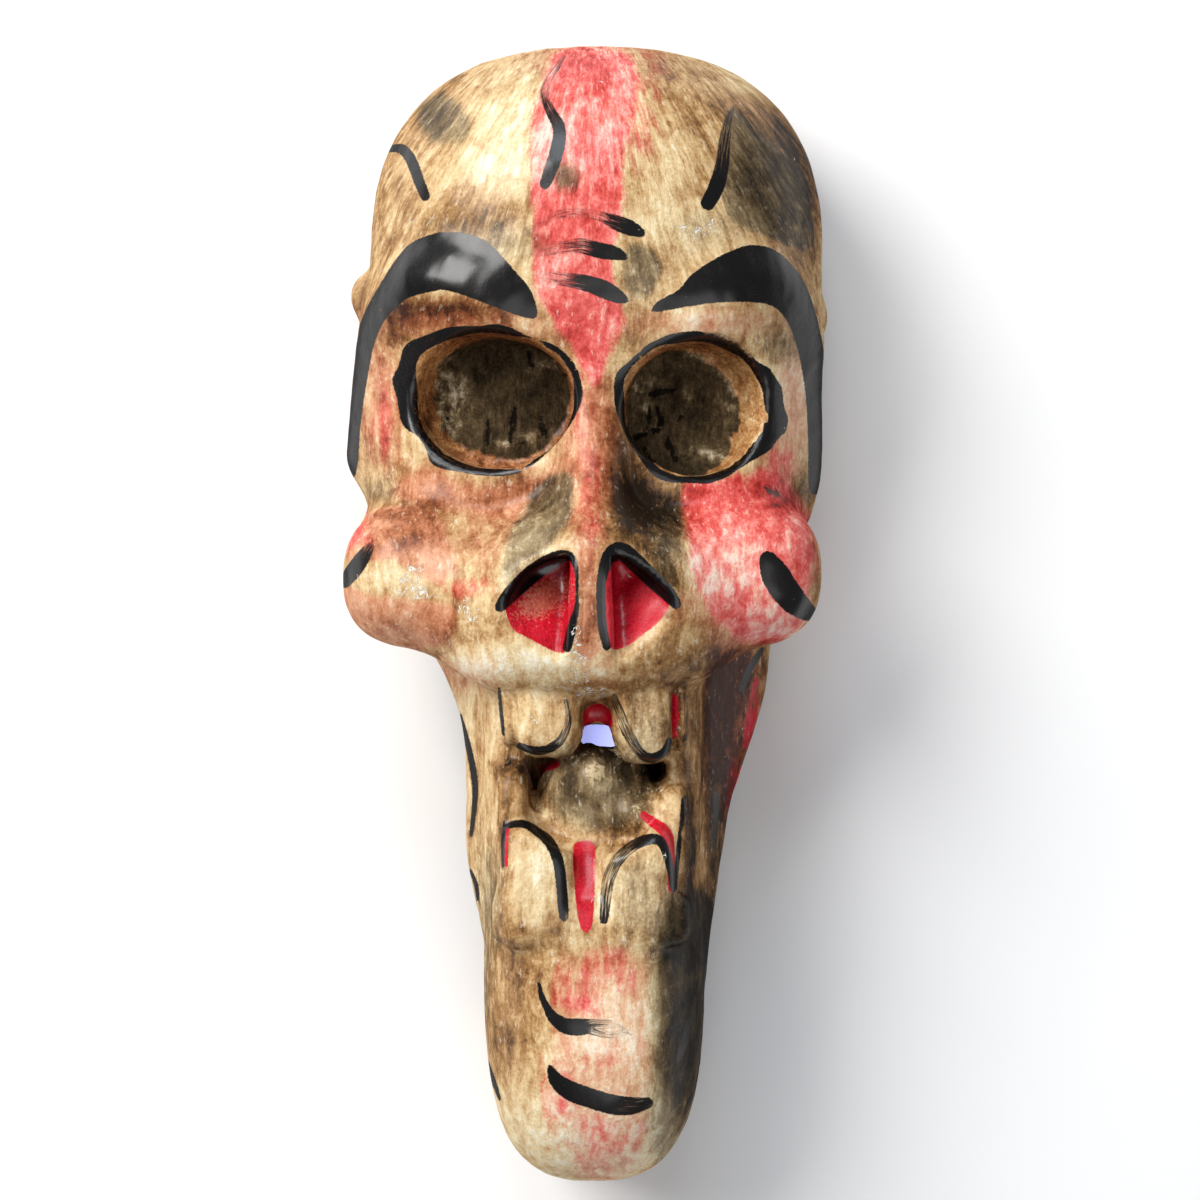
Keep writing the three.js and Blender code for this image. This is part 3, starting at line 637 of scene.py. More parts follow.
INK: tuple[Stroke | Shape | Ring, ...] = (
    # Brows
    Shape(((372, 298), (403, 250), (429, 235), (450, 232), (472, 235), (491, 245), (515, 271), (532, 293),
           (537, 317), (520, 316), (490, 305), (450, 291), (430, 292), (405, 300), (385, 320), (374, 345),
           (369, 370), (364, 400), (360, 430), (357, 470), (348, 482), (338, 470), (342, 430), (348, 380),
           (356, 335)), back=40, lean=0.36),
    Shape(((652, 312), (657, 302), (678, 290), (692, 274), (713, 260), (738, 248), (755, 245), (775, 250),
           (792, 265), (808, 290), (820, 330), (828, 380), (834, 440), (834, 486), (818, 494), (809, 488),
           (808, 440), (806, 400), (802, 370), (795, 340), (785, 318), (770, 305), (745, 302), (712, 303),
           (680, 308)), back=40, lean=0.36),
    # Lines round the eyes, which run over the rims of the sockets
    Ring(Shape(((393, 377), (399, 364), (402, 351), (409, 342), (418, 338), (429, 334), (439, 330),
                (449, 327), (465, 326), (479, 326), (495, 324), (506, 326), (516, 330), (526, 335),
                (539, 340), (550, 343), (559, 348), (570, 358), (577, 369), (581, 382), (583, 395),
                (579, 409), (572, 422), (563, 435), (552, 448), (539, 460), (527, 469), (516, 474),
                (503, 476), (487, 476), (471, 474), (455, 471), (443, 469), (432, 464), (428, 456),
                (424, 445), (416, 435), (406, 429), (400, 419), (399, 411), (396, 395), (393, 384))),
         Shape(((416, 369), (417, 382), (419, 395), (422, 411), (425, 425), (432, 433), (437, 444),
                (443, 453), (452, 457), (460, 460), (476, 464), (492, 467), (505, 469), (519, 469),
                (527, 465), (536, 458), (547, 449), (558, 435), (566, 422), (572, 406), (574, 390),
                (572, 375), (566, 365), (558, 355), (546, 347), (536, 340), (522, 337), (511, 336),
                (499, 334), (487, 333), (472, 334), (460, 337), (449, 340), (439, 344), (429, 349),
                (422, 354), (418, 360)))),
    Ring(Shape(((614, 393), (614, 382), (618, 371), (628, 362), (638, 353), (648, 344), (659, 339),
                (670, 334), (683, 332), (697, 331), (708, 333), (719, 335), (729, 339), (739, 346),
                (750, 354), (758, 362), (764, 365), (771, 370), (777, 380), (782, 388), (783, 398),
                (785, 410), (788, 418), (786, 431), (778, 439), (771, 449), (761, 456), (750, 462),
                (739, 469), (729, 476), (717, 481), (705, 484), (694, 483), (680, 483), (669, 482),
                (657, 478), (647, 469), (638, 456), (628, 441), (620, 422), (615, 406))),
         Shape(((624, 393), (624, 382), (628, 373), (634, 365), (644, 356), (653, 349), (663, 345),
                (674, 344), (689, 342), (700, 342), (711, 344), (722, 348), (732, 353), (742, 359),
                (750, 368), (757, 379), (762, 390), (764, 404), (766, 418), (760, 429), (754, 439),
                (747, 449), (738, 459), (729, 467), (719, 471), (708, 474), (694, 476), (680, 476),
                (670, 473), (661, 469), (654, 463), (646, 452), (639, 441), (632, 428), (628, 415),
                (625, 404)))),
    Stroke(((706, 334, 2, 0.3), (724, 337, 2.5, 0.5), (740, 346, 2.5, 0.6), (752, 355, 1.5, 0.7))),
    # Forehead
    Stroke(((566, 54, 1.2, 0.45), (557, 67, 3, 0.5), (548, 81, 4, 0.5), (544, 94, 4.4, 0.4),
            (550, 110, 5, 0.2), (559, 128, 6.5, 0), (558, 146, 7, 0), (552, 166, 7, 0),
            (545, 184, 5.5, 0))),
    Stroke(((389, 149, 3), (402, 149, 5), (411, 160, 5.5), (418, 178, 5.5), (425, 196, 5)), back=46),
    Stroke(((736, 104, 1.2, 0.5), (728, 121, 4, 0.35), (724, 145, 6, 0.25), (722, 165, 7, 0.1), (717, 185, 8),
            (708, 203, 7.5))),
    Stroke(((811, 222, 2.5, 0.2), (812, 245, 2.5, 0.4))),
    Stroke(((524, 236, 2, 0.85), (545, 221, 4, 0.7), (562, 214, 5, 0.55), (582, 213, 5, 0.6),
            (600, 216, 5, 0.55), (612, 221, 7, 0.2), (628, 227, 8), (641, 233, 4.5))),
    Stroke(((532, 253, 4, 0.85), (550, 250, 6, 0.6), (566, 247, 6.5, 0.5), (582, 246, 7.5, 0.3),
            (598, 250, 8), (614, 253, 7), (625, 257, 3.5))),
    Stroke(((536, 274, 3, 0.85), (552, 277, 6, 0.6), (568, 280, 7, 0.35), (586, 283, 8, 0.05), (603, 289, 9),
            (617, 296, 7), (626, 300, 3))),
    # Cheeks
    Stroke(((345, 582, 6, 0.1), (354, 570, 8, 0), (364, 556, 7, 0.1), (370, 547, 4, 0.3)), back=36),
    Stroke(((768, 560, 9), (775, 574, 14), (784, 589, 14.5), (795, 602, 13), (807, 612, 9)), back=26),
    Stroke(((764, 488, 1.4, 0.2), (780, 498, 2.4, 0.5), (790, 515, 1.6, 0.6))),
    # Nose
    Stroke(((500, 607, 5.5), (508, 597, 7.5), (526, 579, 9), (546, 564, 8.5), (562, 556, 6, 0.1),
            (571, 557, 4), (576, 568, 2.4), (577.5, 590, 1.8), (577, 606, 2.6), (573, 622, 4),
            (570, 636, 4.8), (567, 648, 4.4))),
    Stroke(((607, 647, 4), (603, 630, 4.6), (601, 605, 4.6), (602, 578, 5), (609, 556, 7), (621, 551, 9),
            (637, 564, 9), (654, 581, 8.5), (668, 594, 7.5), (676, 604, 5.5))),
    # Upper teeth
    Stroke(((566, 701, 3, 0.35), (569, 718, 3.4, 0.3), (564, 735, 4, 0.3), (554, 746, 4.5, 0.1),
            (538, 751, 4.5), (520, 746, 3.5))),
    Stroke(((499, 688, 1.4), (501, 710, 2), (503.5, 735, 1.6))),
    Stroke(((614, 697, 3.5, 0.3), (620, 714, 5, 0.35), (628, 733, 5.5, 0.35), (640, 753, 5, 0.2),
            (652, 758, 4.5), (665, 751, 4), (669, 740, 3))),
    Stroke(((685, 692, 1.8, 0.4), (686, 720, 2.2, 0.4), (684, 747, 2.6, 0.3))),
    # Lower teeth
    Stroke(((510, 825, 3.5), (524, 824, 4), (539, 833, 4.6), (550, 843, 5.5), (558, 861, 5.5),
            (561, 881, 5.5), (563, 905, 5.5), (564, 918, 4.5, 0.2))),
    Stroke(((604, 920, 4.5, 0.1), (606, 895, 5.5, 0.3), (609, 878, 6, 0.3), (617, 861, 6, 0.3),
            (630, 848, 5.5, 0.2), (646, 840, 5.5), (659, 840, 5), (666, 852, 4.2), (671, 872, 3.8),
            (673, 890, 2.4))),
    Stroke(((684, 797, 2.5), (682, 820, 2.5), (679, 846, 2.5), (675, 888, 2))),
    Stroke(((505, 820, 1.6), (503, 842, 2), (503, 868, 1.6))),
    # Chin
    Stroke(((538, 979, 1.6, 0.1), (541, 994, 2.8), (547, 1008, 4), (555, 1019, 6), (566, 1026, 8),
            (580, 1027, 8.5), (592, 1025, 6, 0.2), (608, 1024, 4, 0.5), (622, 1028, 2.4, 0.6),
            (634, 1036, 1.2, 0.3))),
    Stroke(((592, 1030, 5, 0.3), (610, 1035, 3.4, 0.6), (632, 1036, 1.4, 0.6))),
    Stroke(((550, 1068, 3.4), (557, 1081, 7.5), (571, 1091, 10), (590, 1098, 10), (610, 1104, 10),
            (630, 1106, 9, 0.1), (648, 1103, 5.5, 0.1))),
    Stroke(((487, 1060, 1.5), (494, 1082, 2.4), (500, 1100, 1.5)), back=6),
    Stroke(((690, 1018, 2, 0.3), (685, 1040, 4, 0.3), (678, 1060, 2.5, 0.4)), back=6),
    # Plates
    Stroke(((460, 716, 2.2), (468, 745, 3), (474, 775, 3.4), (475, 800, 3), (471, 836, 2)), back=6),
    Stroke(((470, 870, 1.6), (476, 884, 2.2), (478, 900, 1.4)), back=6),
    Stroke(((762, 650, 2.5), (750, 668, 3.4), (741, 690, 2.5)), back=6),
    Stroke(((716, 792, 2), (716, 820, 2.6), (714, 850, 1.8)), back=6),
    # Cracks in the floors of the sockets
    *(Stroke(rows, place=Place.SOCKET) for rows in (
        ((528, 350, 1.5), (531, 361, 3), (532, 372, 1.5)),
        ((515, 409, 1.4), (513, 424, 3.4), (509, 443, 2)),
        ((487, 415, 1.4), (487, 430, 2.6), (488, 445, 1.6)),
        ((540, 417, 2), (542, 428, 3.4), (545, 438, 2)),
        ((448, 418, 1.8), (450, 434, 2.6)),
        ((650, 395, 2), (660, 392, 3.6), (675, 391, 2)),
        ((649, 406, 2), (648, 418, 3.2), (647, 430, 2.4)),
        ((658, 408, 2), (661, 422, 3.2), (656, 431, 3), (645, 433, 3), (635, 438, 3.4)),
        ((667, 436, 1.8), (670, 449, 3.4), (676, 460, 2.4)),
        ((690, 408, 1.2), (684, 415, 2), (678, 420, 1.4)),
        ((644, 450, 2.2), (653, 463, 3)),
    )),
)

RED: tuple[Stroke | Shape, ...] = (
    Shape(((573, 558), (560, 556), (540, 566), (520, 584), (507, 602), (507, 616), (513, 629), (526, 637),
           (541, 645), (556, 652), (565, 651), (571, 628), (576, 596))),
    Shape(((609, 558), (621, 553), (640, 568), (660, 588), (669, 604), (664, 615), (655, 625), (645, 633),
           (633, 642), (622, 648), (611, 648), (604, 628), (602, 604), (603, 580))),
    Shape(((573, 850), (577, 842), (590, 841), (595, 848), (595, 880), (594, 910), (592, 926), (587, 933),
           (581, 928), (577, 912), (574, 880))),
    Stroke(((643, 815, 4), (654, 823, 5), (666, 833, 6), (670, 852, 4.5), (671, 872, 4), (671, 891, 2.4))),
    Shape(((584, 712), (598, 703), (611, 712), (612, 728), (605, 724), (598, 721), (590, 724), (584, 730))),
    Stroke(((675, 695, 3.4), (675, 716, 3.8), (675, 738, 2.6))),
    Stroke(((508, 823, 1.8, 0.3), (506, 842, 2.4, 0.4), (506, 865, 1.8, 0.4))),
    Stroke(((744, 768, 4, 0.5), (740, 796, 7, 0.3), (736, 826, 4, 0.5)), back=6),
    Stroke(((756, 680, 3, 0.6), (752, 712, 6, 0.5), (746, 745, 4, 0.6)), back=6),
    Stroke(((543, 768, 4, 0.2), (556, 764, 4, 0.3))),
)

TINTS: tuple[Patch | Area, ...] = (
    # Forehead
    Area(Tint.PINK, 0.95, 9, (
        (560, 50), (600, 48), (628, 56), (636, 80), (632, 110), (624, 140), (620, 170), (622, 200),
        (618, 235), (612, 262), (614, 290), (624, 318), (614, 345), (604, 372), (592, 384), (582, 368),
        (568, 340), (550, 318), (538, 296), (534, 262), (534, 225), (533, 190), (532, 150), (534, 120),
        (538, 95), (546, 72))),
    Patch(Tint.PINK, (640, 105), (22, 50), 0.4),
    Patch(Tint.SALMON, (590, 58), (52, 20), 0.75),
    Patch(Tint.BROWN, (586, 350), (24, 40), 0.35),
    Area(Tint.CREAM, 0.85, 14, (
        (470, 84), (520, 66), (534, 82), (530, 130), (528, 186), (500, 198), (470, 185), (452, 150),
        (458, 110))),
    Patch(Tint.CREAM, (650, 190), (26, 50), 0.5),
    Patch(Tint.CREAM, (548, 150), (10, 70), 0.5),
    Area(Tint.BROWN, 0.42, 16, (
        (632, 60), (680, 60), (730, 80), (775, 108), (748, 112), (725, 118), (716, 160), (700, 185),
        (682, 165), (660, 120), (640, 95))),
    Area(Tint.BROWN, 0.5, 4, (
        (726, 100), (740, 92), (758, 98), (776, 112), (790, 128), (802, 146), (798, 162), (782, 150),
        (768, 138), (752, 122), (740, 112), (730, 108))),
    Area(Tint.OLIVE, 0.9, 5, (
        (724, 120), (732, 108), (744, 116), (757, 130), (770, 140), (784, 153), (798, 166), (808, 190),
        (812, 222), (806, 248), (792, 246), (772, 238), (748, 228), (730, 218), (722, 196), (722, 170),
        (722, 142))),
    Patch(Tint.DIRT, (757, 155), (38, 46), 0.75, edge=3),
    Patch(Tint.DIRT, (795, 195), (28, 54), 0.8),
    Patch(Tint.BROWN, (812, 190), (12, 60), 0.5),
    Patch(Tint.OLIVE, (705, 230), (42, 20), 0.3),
    Patch(Tint.CREAM, (690, 228), (40, 22), 0.9),
    Patch(Tint.CHIPS, (700, 230), (40, 20), 0.6),
    Patch(Tint.CHIPS, (768, 138), (30, 10), 0.4, turn=38),
    Area(Tint.OLIVE, 0.85, 9, (
        (422, 102), (440, 94), (456, 100), (468, 116), (466, 136), (450, 144), (432, 142), (420, 124))),
    Patch(Tint.DIRT, (442, 118), (24, 22), 0.5),
    # Painted shade: brown along the top rim and the left edge of the forehead, where the form turns away
    Patch(Tint.BROWN, (470, 76), (60, 16), 0.45),
    Patch(Tint.BROWN, (388, 200), (18, 60), 0.4),
    Patch(Tint.BROWN, (470, 215), (60, 26), 0.6),
    Patch(Tint.OLIVE, (500, 243), (34, 18), 0.6),
    Patch(Tint.OLIVE, (446, 226), (30, 8), 0.4),
    Area(Tint.OLIVE, 0.75, 6, (
        (630, 244), (648, 248), (660, 264), (658, 282), (650, 296), (636, 300), (626, 290), (622, 266))),
    Patch(Tint.BROWN, (642, 272), (18, 24), 0.3),
    Patch(Tint.OLIVE, (566, 177), (11, 12), 1.0),
    Patch(Tint.BROWN, (566, 177), (11, 12), 0.5),
    # Round the eyes
    Patch(Tint.SALMON, (445, 318), (70, 16), 0.85),
    # Painted shade under the lower edge of the left brow, in brown and dark
    Patch(Tint.BROWN, (440, 314), (80, 16), 1.0),
    Patch(Tint.DIRT, (450, 308), (70, 9), 0.5),
    Patch(Tint.DIRT, (392, 330), (16, 26), 0.5),
    Patch(Tint.SALMON, (384, 400), (20, 56), 0.8, edge=3),
    Patch(Tint.CREAM, (380, 396), (18, 50), 0.25),
    Patch(Tint.PINK, (384, 420), (12, 30), 0.45),
    Patch(Tint.BROWN, (386, 400), (18, 60), 0.75),
    Patch(Tint.CREAM, (378, 478), (20, 22), 0.7),
    Patch(Tint.OLIVE, (376, 490), (16, 12), 0.4),
    Patch(Tint.SALMON, (560, 330), (40, 14), 0.5),
    Area(Tint.SALMON, 0.95, 10, (
        (425, 468), (470, 482), (510, 484), (548, 468), (560, 478), (540, 500), (515, 520), (480, 516),
        (440, 508), (405, 500), (398, 486))),
    Patch(Tint.BROWN, (455, 500), (64, 16), 0.95, turn=-8),
    Patch(Tint.SALMON, (706, 322), (60, 12), 0.7),
    Patch(Tint.CREAM, (712, 322), (50, 10), 0.4),
    Patch(Tint.PINK, (690, 322), (40, 8), 0.15),
    Patch(Tint.BROWN, (640, 322), (24, 16), 0.35),
    Patch(Tint.SALMON, (793, 400), (15, 66), 0.8, edge=3),
    Patch(Tint.CREAM, (795, 405), (18, 66), 1.0, edge=4),
    Patch(Tint.CREAM, (795, 405), (18, 66), 0.6, edge=4),
    Patch(Tint.PINK, (780, 462), (16, 20), 0.5),
    Patch(Tint.OLIVE, (788, 342), (24, 20), 0.7),
    Patch(Tint.DIRT, (790, 334), (14, 14), 0.35),
    Patch(Tint.BROWN, (803, 470), (14, 34), 0.5),
    Patch(Tint.OLIVE, (806, 488), (12, 14), 0.6),
    # Painted shade down the side of the nose next to the right eye
    Area(Tint.BROWN, 0.75, 8, (
        (604, 385), (614, 372), (617, 400), (624, 430), (636, 458), (648, 478), (640, 500), (622, 500),
        (612, 470), (606, 430))),
    Patch(Tint.DIRT, (626, 470), (12, 30), 0.3),
    # Walls and floors of the sockets
    Patch(Tint.BROWN, (426, 405), (10, 60), 0.3),
    Patch(Tint.BROWN, (480, 338), (70, 9), 0.9),
    Patch(Tint.SALMON, (490, 462), (60, 8), 0.6),
    Patch(Tint.BROWN, (680, 345), (60, 8), 0.5),
    Patch(Tint.CREAM, (752, 410), (14, 50), 1.0),
    # Painted light: pale dust on the left of the left socket's floor, paler still where the wall's shadow
    # falls
    Patch(Tint.DUST, (446, 400), (16, 36), 1.0, edge=4),
    Patch(Tint.DUST, (448, 396), (18, 34), 0.9, edge=4),
    Patch(Tint.DUST, (515, 442), (34, 5), 0.8, turn=-12),
    Patch(Tint.DUST, (548, 366), (18, 6), 0.8),
    Patch(Tint.DUST, (641, 395), (16, 36), 0.5),
    Patch(Tint.DUST, (668, 372), (26, 14), 0.3),
    # Painted highlight: a pale gleam near the right wall of the right socket's floor
    Patch(Tint.DUST, (731, 408), (8, 20), 0.8),
    Patch(Tint.DUST, (719, 403), (5, 9), 0.8),
    Patch(Tint.DUST, (689, 397), (6, 6), 0.8),
    Patch(Tint.DUST, (708, 360), (24, 6), 0.9, turn=38),
    Patch(Tint.DUST, (712, 455), (24, 5), 0.8, turn=8),
    Patch(Tint.DUST, (688, 457), (5, 5), 0.9),
    # Nose
    Patch(Tint.SALMON, (590, 440), (24, 90), 1.0, edge=3),
    Patch(Tint.PINK, (582, 400), (10, 50), 0.35),
    Patch(Tint.PINK, (590, 500), (12, 50), 0.35),
    Patch(Tint.BROWN, (588, 420), (22, 50), 0.5),
    Patch(Tint.BROWN, (598, 510), (20, 44), 0.2),
    Patch(Tint.CREAM, (590, 548), (14, 16), 0.8),
    Area(Tint.SALMON, 0.9, 5, ((578, 556), (592, 552), (597, 580), (597, 620), (602, 650), (578, 656),
                               (580, 600))),
    Patch(Tint.BROWN, (588, 606), (13, 50), 1.0, edge=3),
    Area(Tint.OLIVE, 0.9, 8, (
        (500, 584), (506, 545), (520, 515), (534, 488), (552, 474), (572, 478), (574, 496), (566, 520),
        (552, 546), (528, 560), (512, 576))),
    Patch(Tint.DIRT, (546, 506), (18, 36), 0.55, turn=-30),
    Area(Tint.BROWN, 1.0, 7, (
        (609, 470), (628, 478), (652, 488), (678, 496), (686, 520), (686, 560), (678, 588), (664, 586),
        (648, 562), (630, 545), (616, 538), (610, 505))),
    Patch(Tint.DIRT, (640, 512), (26, 38), 0.8, turn=20),
    Patch(Tint.OLIVE, (667, 542), (15, 36), 0.9),
    Patch(Tint.CREAM, (535, 664), (36, 14), 0.6),
    Area(Tint.BROWN, 0.4, 9, (
        (622, 656), (648, 640), (668, 616), (690, 604), (714, 628), (714, 656), (692, 678), (650, 684),
        (620, 680))),
    Patch(Tint.CREAM, (520, 668), (54, 24), 1.0, edge=4),
    Patch(Tint.CREAM, (514, 666), (44, 16), 0.8),
    Patch(Tint.BROWN, (464, 644), (30, 14), 0.4, turn=-20),
    Patch(Tint.BROWN, (590, 684), (100, 4), 0.6),
    Patch(Tint.CHIPS, (578, 662), (12, 26), 0.9),
    Patch(Tint.CHIPS, (572, 690), (26, 6), 0.9),
    Patch(Tint.SALMON, (600, 668), (20, 18), 0.6),
    # Left cheek
    Area(Tint.SALMON, 1.0, 6, (
        (343, 545), (356, 520), (380, 508), (420, 508), (440, 522), (448, 545), (454, 566), (444, 584),
        (420, 576), (395, 562), (370, 560), (352, 562))),
    Patch(Tint.SALMON, (478, 530), (46, 34), 0.5),
    Patch(Tint.BROWN, (400, 540), (54, 24), 0.55),
    Patch(Tint.BROWN, (500, 540), (30, 30), 0.35),
    Patch(Tint.PINK, (352, 532), (16, 18), 0.8),
    Patch(Tint.PINK, (468, 588), (30, 10), 0.4),
    Patch(Tint.CREAM, (396, 572), (34, 10), 1.0),
    Area(Tint.SALMON, 1.0, 8, (
        (342, 588), (380, 596), (420, 600), (450, 608), (454, 630), (432, 648), (400, 650), (366, 642),
        (346, 620))),
    Patch(Tint.BROWN, (395, 634), (40, 8), 0.2),
    # Painted shade at the lower inner corner of the left cheek
    Patch(Tint.DIRT, (448, 636), (16, 10), 0.45, turn=-30),
    Patch(Tint.CHIPS, (412, 592), (34, 9), 0.9),
    Patch(Tint.CHIPS, (398, 572), (36, 12), 0.55),
    Patch(Tint.CHIPS, (474, 606), (18, 12), 0.75),
    Patch(Tint.CHIPS, (384, 410), (12, 50), 0.3),
    # Right cheek
    Area(Tint.PINK, 0.78, 9, (
        (684, 486), (720, 478), (765, 470), (790, 488), (806, 515), (812, 560), (808, 605), (792, 640),
        (750, 642), (715, 622), (696, 590), (688, 550))),
    Patch(Tint.BROWN, (762, 490), (36, 12), 0.5, turn=8),
    Patch(Tint.DIRT, (772, 496), (24, 14), 0.6, turn=20),
    Patch(Tint.BROWN, (796, 545), (16, 30), 0.4),
    Patch(Tint.PINK, (790, 545), (22, 34), 0.7),
    Patch(Tint.CREAM, (724, 566), (38, 36), 1.0, edge=4),
    Patch(Tint.CREAM, (716, 572), (30, 30), 0.8, edge=3),
    Patch(Tint.SALMON, (722, 610), (34, 18), 0.9),
    Patch(Tint.BROWN, (722, 612), (30, 14), 0.3),
    Patch(Tint.CREAM, (760, 626), (50, 18), 1.0, turn=4, edge=3),
    Patch(Tint.BROWN, (815, 575), (7, 36), 1.0),
    Patch(Tint.CHIPS, (768, 553), (9, 5), 1.0),
    # Upper teeth and corners of the mouth
    Patch(Tint.OLIVE, (645, 725), (24, 34), 0.5, edge=4),
    Patch(Tint.BROWN, (645, 706), (26, 14), 0.3),
    Patch(Tint.BROWN, (580, 716), (14, 26), 0.4),
    Patch(Tint.CREAM, (520, 725), (24, 30), 0.8),
    Patch(Tint.BROWN, (484, 745), (14, 40), 0.25),
    Patch(Tint.SALMON, (462, 672), (34, 20), 0.6),
    Area(Tint.BROWN, 0.45, 5, ((672, 692), (704, 690), (706, 750), (700, 800), (690, 800), (694, 750),
                               (672, 745))),
    Patch(Tint.CHIPS, (545, 722), (20, 22), 0.3),
    # Tongue
    Patch(Tint.OLIVE, (597, 785), (58, 44), 0.9, edge=6),
    Patch(Tint.DIRT, (604, 750), (18, 9), 0.75),
    Patch(Tint.BROWN, (632, 782), (18, 26), 0.45),
    Patch(Tint.CREAM, (592, 818), (16, 12), 0.9),
    # Lower jaw and teeth
    Patch(Tint.CREAM, (535, 880), (40, 46), 1.0, edge=3),
    Patch(Tint.CREAM, (640, 885), (28, 34), 0.6),
    Patch(Tint.OLIVE, (645, 905), (30, 40), 0.55),
    Patch(Tint.BROWN, (562, 924), (26, 8), 0.4),
    Patch(Tint.BROWN, (560, 838), (30, 10), 0.35, turn=20),
    Patch(Tint.OLIVE, (490, 905), (12, 50), 0.6),
    Patch(Tint.DIRT, (684, 905), (20, 26), 0.5),
    # Painted shade in the grooves between the lower teeth and the plates
    Patch(Tint.BROWN, (506, 850), (5, 60), 1.0, edge=3),
    Patch(Tint.BROWN, (688, 840), (8, 70), 1.0, edge=3),
    Patch(Tint.DIRT, (690, 850), (4, 60), 0.6, edge=3),
    Patch(Tint.BROWN, (572, 932), (70, 5), 0.5),
    # Painted shade in the corners of the mouth
    Patch(Tint.DIRT, (512, 770), (16, 10), 0.6),
    Patch(Tint.DIRT, (660, 772), (14, 10), 0.6),
    # Chin
    Patch(Tint.BROWN, (508, 985), (30, 60), 0.35),
    Patch(Tint.BROWN, (520, 1060), (26, 60), 0.35),
    Patch(Tint.OLIVE, (480, 990), (9, 90), 0.6),
    Patch(Tint.DIRT, (478, 1000), (7, 70), 0.4),
    Patch(Tint.CREAM, (530, 1110), (44, 44), 1.0, edge=3),
    # Painted light: cream on the underside of the chin, which turns away from the light
    Patch(Tint.CREAM, (596, 1140), (74, 44), 1.0, edge=4),
    Patch(Tint.CREAM, (600, 1140), (60, 36), 0.8, edge=3),
    Patch(Tint.BROWN, (540, 980), (40, 26), 0.3),
    Patch(Tint.BROWN, (610, 960), (50, 16), 0.5),
    Patch(Tint.CREAM, (600, 1060), (50, 60), 1.0, edge=4),
    Area(Tint.SALMON, 0.66, 9, (
        (560, 958), (600, 950), (640, 958), (650, 1030), (650, 1120), (630, 1175), (590, 1185), (562, 1140),
        (552, 1060), (552, 1000))),
    Patch(Tint.PINK, (602, 975), (44, 26), 0.4),
    Patch(Tint.PINK, (580, 1006), (26, 10), 0.4, turn=14),
    Patch(Tint.PINK, (596, 1056), (40, 14), 0.35),
    Patch(Tint.PINK, (606, 1136), (50, 30), 0.5),
    # More painted light on the underside of the chin
    Patch(Tint.CREAM, (606, 1150), (60, 30), 0.9, edge=3),
    Patch(Tint.PINK, (556, 1100), (16, 26), 0.5),
    # Grime down the right side of the chin, with painted shade on that side, which turns from the light
    Area(Tint.OLIVE, 1.0, 13, (
        (662, 905), (690, 898), (712, 900), (712, 960), (708, 1030), (702, 1090), (684, 1140), (656, 1160),
        (650, 1120), (654, 1060), (652, 1000), (654, 950))),
    Area(Tint.DIRT, 0.75, 13, (
        (672, 905), (712, 900), (712, 960), (708, 1030), (700, 1090), (680, 1120), (664, 1090), (662, 1020),
        (660, 950))),
    Patch(Tint.DIRT, (694, 1000), (24, 110), 1.0, edge=4),
    # Plates
    Patch(Tint.CREAM, (462, 730), (14, 70), 1.0, edge=3),
    Area(Tint.BROWN, 1.0, 5, (
        (706, 660), (730, 650), (790, 640), (770, 720), (750, 800), (735, 880), (715, 960), (704, 960),
        (706, 800))),
    # Painted shade in the recess between the column of the teeth and the right plate
    Patch(Tint.DIRT, (724, 740), (24, 110), 0.75, edge=3),
    Patch(Tint.SALMON, (735, 720), (26, 100), 1.0, edge=3),
    Patch(Tint.PINK, (733, 800), (6, 40), 0.9),
    Patch(Tint.BROWN, (460, 700), (10, 40), 0.3),
)

# Where the bare floors of the sockets show, and what stands up on them
FLOORS: tuple[Shape, ...] = (
    Shape(((435, 385), (437, 372), (445, 358), (460, 348), (480, 340), (500, 337), (520, 339), (540, 346),
           (555, 356), (566, 368), (570, 385), (569, 405), (562, 425), (550, 442), (535, 455), (515, 460),
           (500, 458), (480, 452), (465, 446), (450, 438), (440, 425), (435, 405))),
    Shape(((627, 388), (629, 375), (637, 362), (655, 351), (677, 349), (693, 353), (711, 364), (722, 373),
           (731, 386), (737, 400), (740, 417), (737, 431), (730, 442), (729, 453), (718, 466), (704, 474),
           (686, 476), (671, 475), (655, 469), (642, 459), (631, 439), (627, 417))),
)
RIDGES: tuple[Stroke, ...] = (
    Stroke(((484, 447, 1.5), (500, 444, 2.5), (518, 441, 3), (534, 435, 3),
            (545, 424, 2)), place=Place.SOCKET),
    Stroke(((528, 373, 1.5), (540, 366, 3.5), (552, 364, 4), (564, 370, 3)), place=Place.SOCKET),
    Stroke(((440, 385, 3), (448, 400, 5), (452, 416, 3), (445, 428, 3)), place=Place.SOCKET),
    Stroke(((684, 356, 1.5), (700, 357, 3), (714, 366, 3), (726, 380, 2.5),
            (734, 398, 2.5)), place=Place.SOCKET),
    Stroke(((700, 452, 1), (712, 456, 2), (724, 458, 1.5)), place=Place.SOCKET),
    Stroke(((634, 384, 4), (642, 396, 5), (644, 410, 4)), place=Place.SOCKET),
)


# Shaders


def paint(red: float, green: float, blue: float) -> tuple[float, float, float, float]:
    """Turn a colour of 0 to 255 on a screen into the linear colour of a shader."""
    part = [v / 255 for v in (red, green, blue)]
    return (*(v / 12.92 if v <= 0.04045 else ((v + 0.055) / 1.055) ** 2.4 for v in part), 1.0)


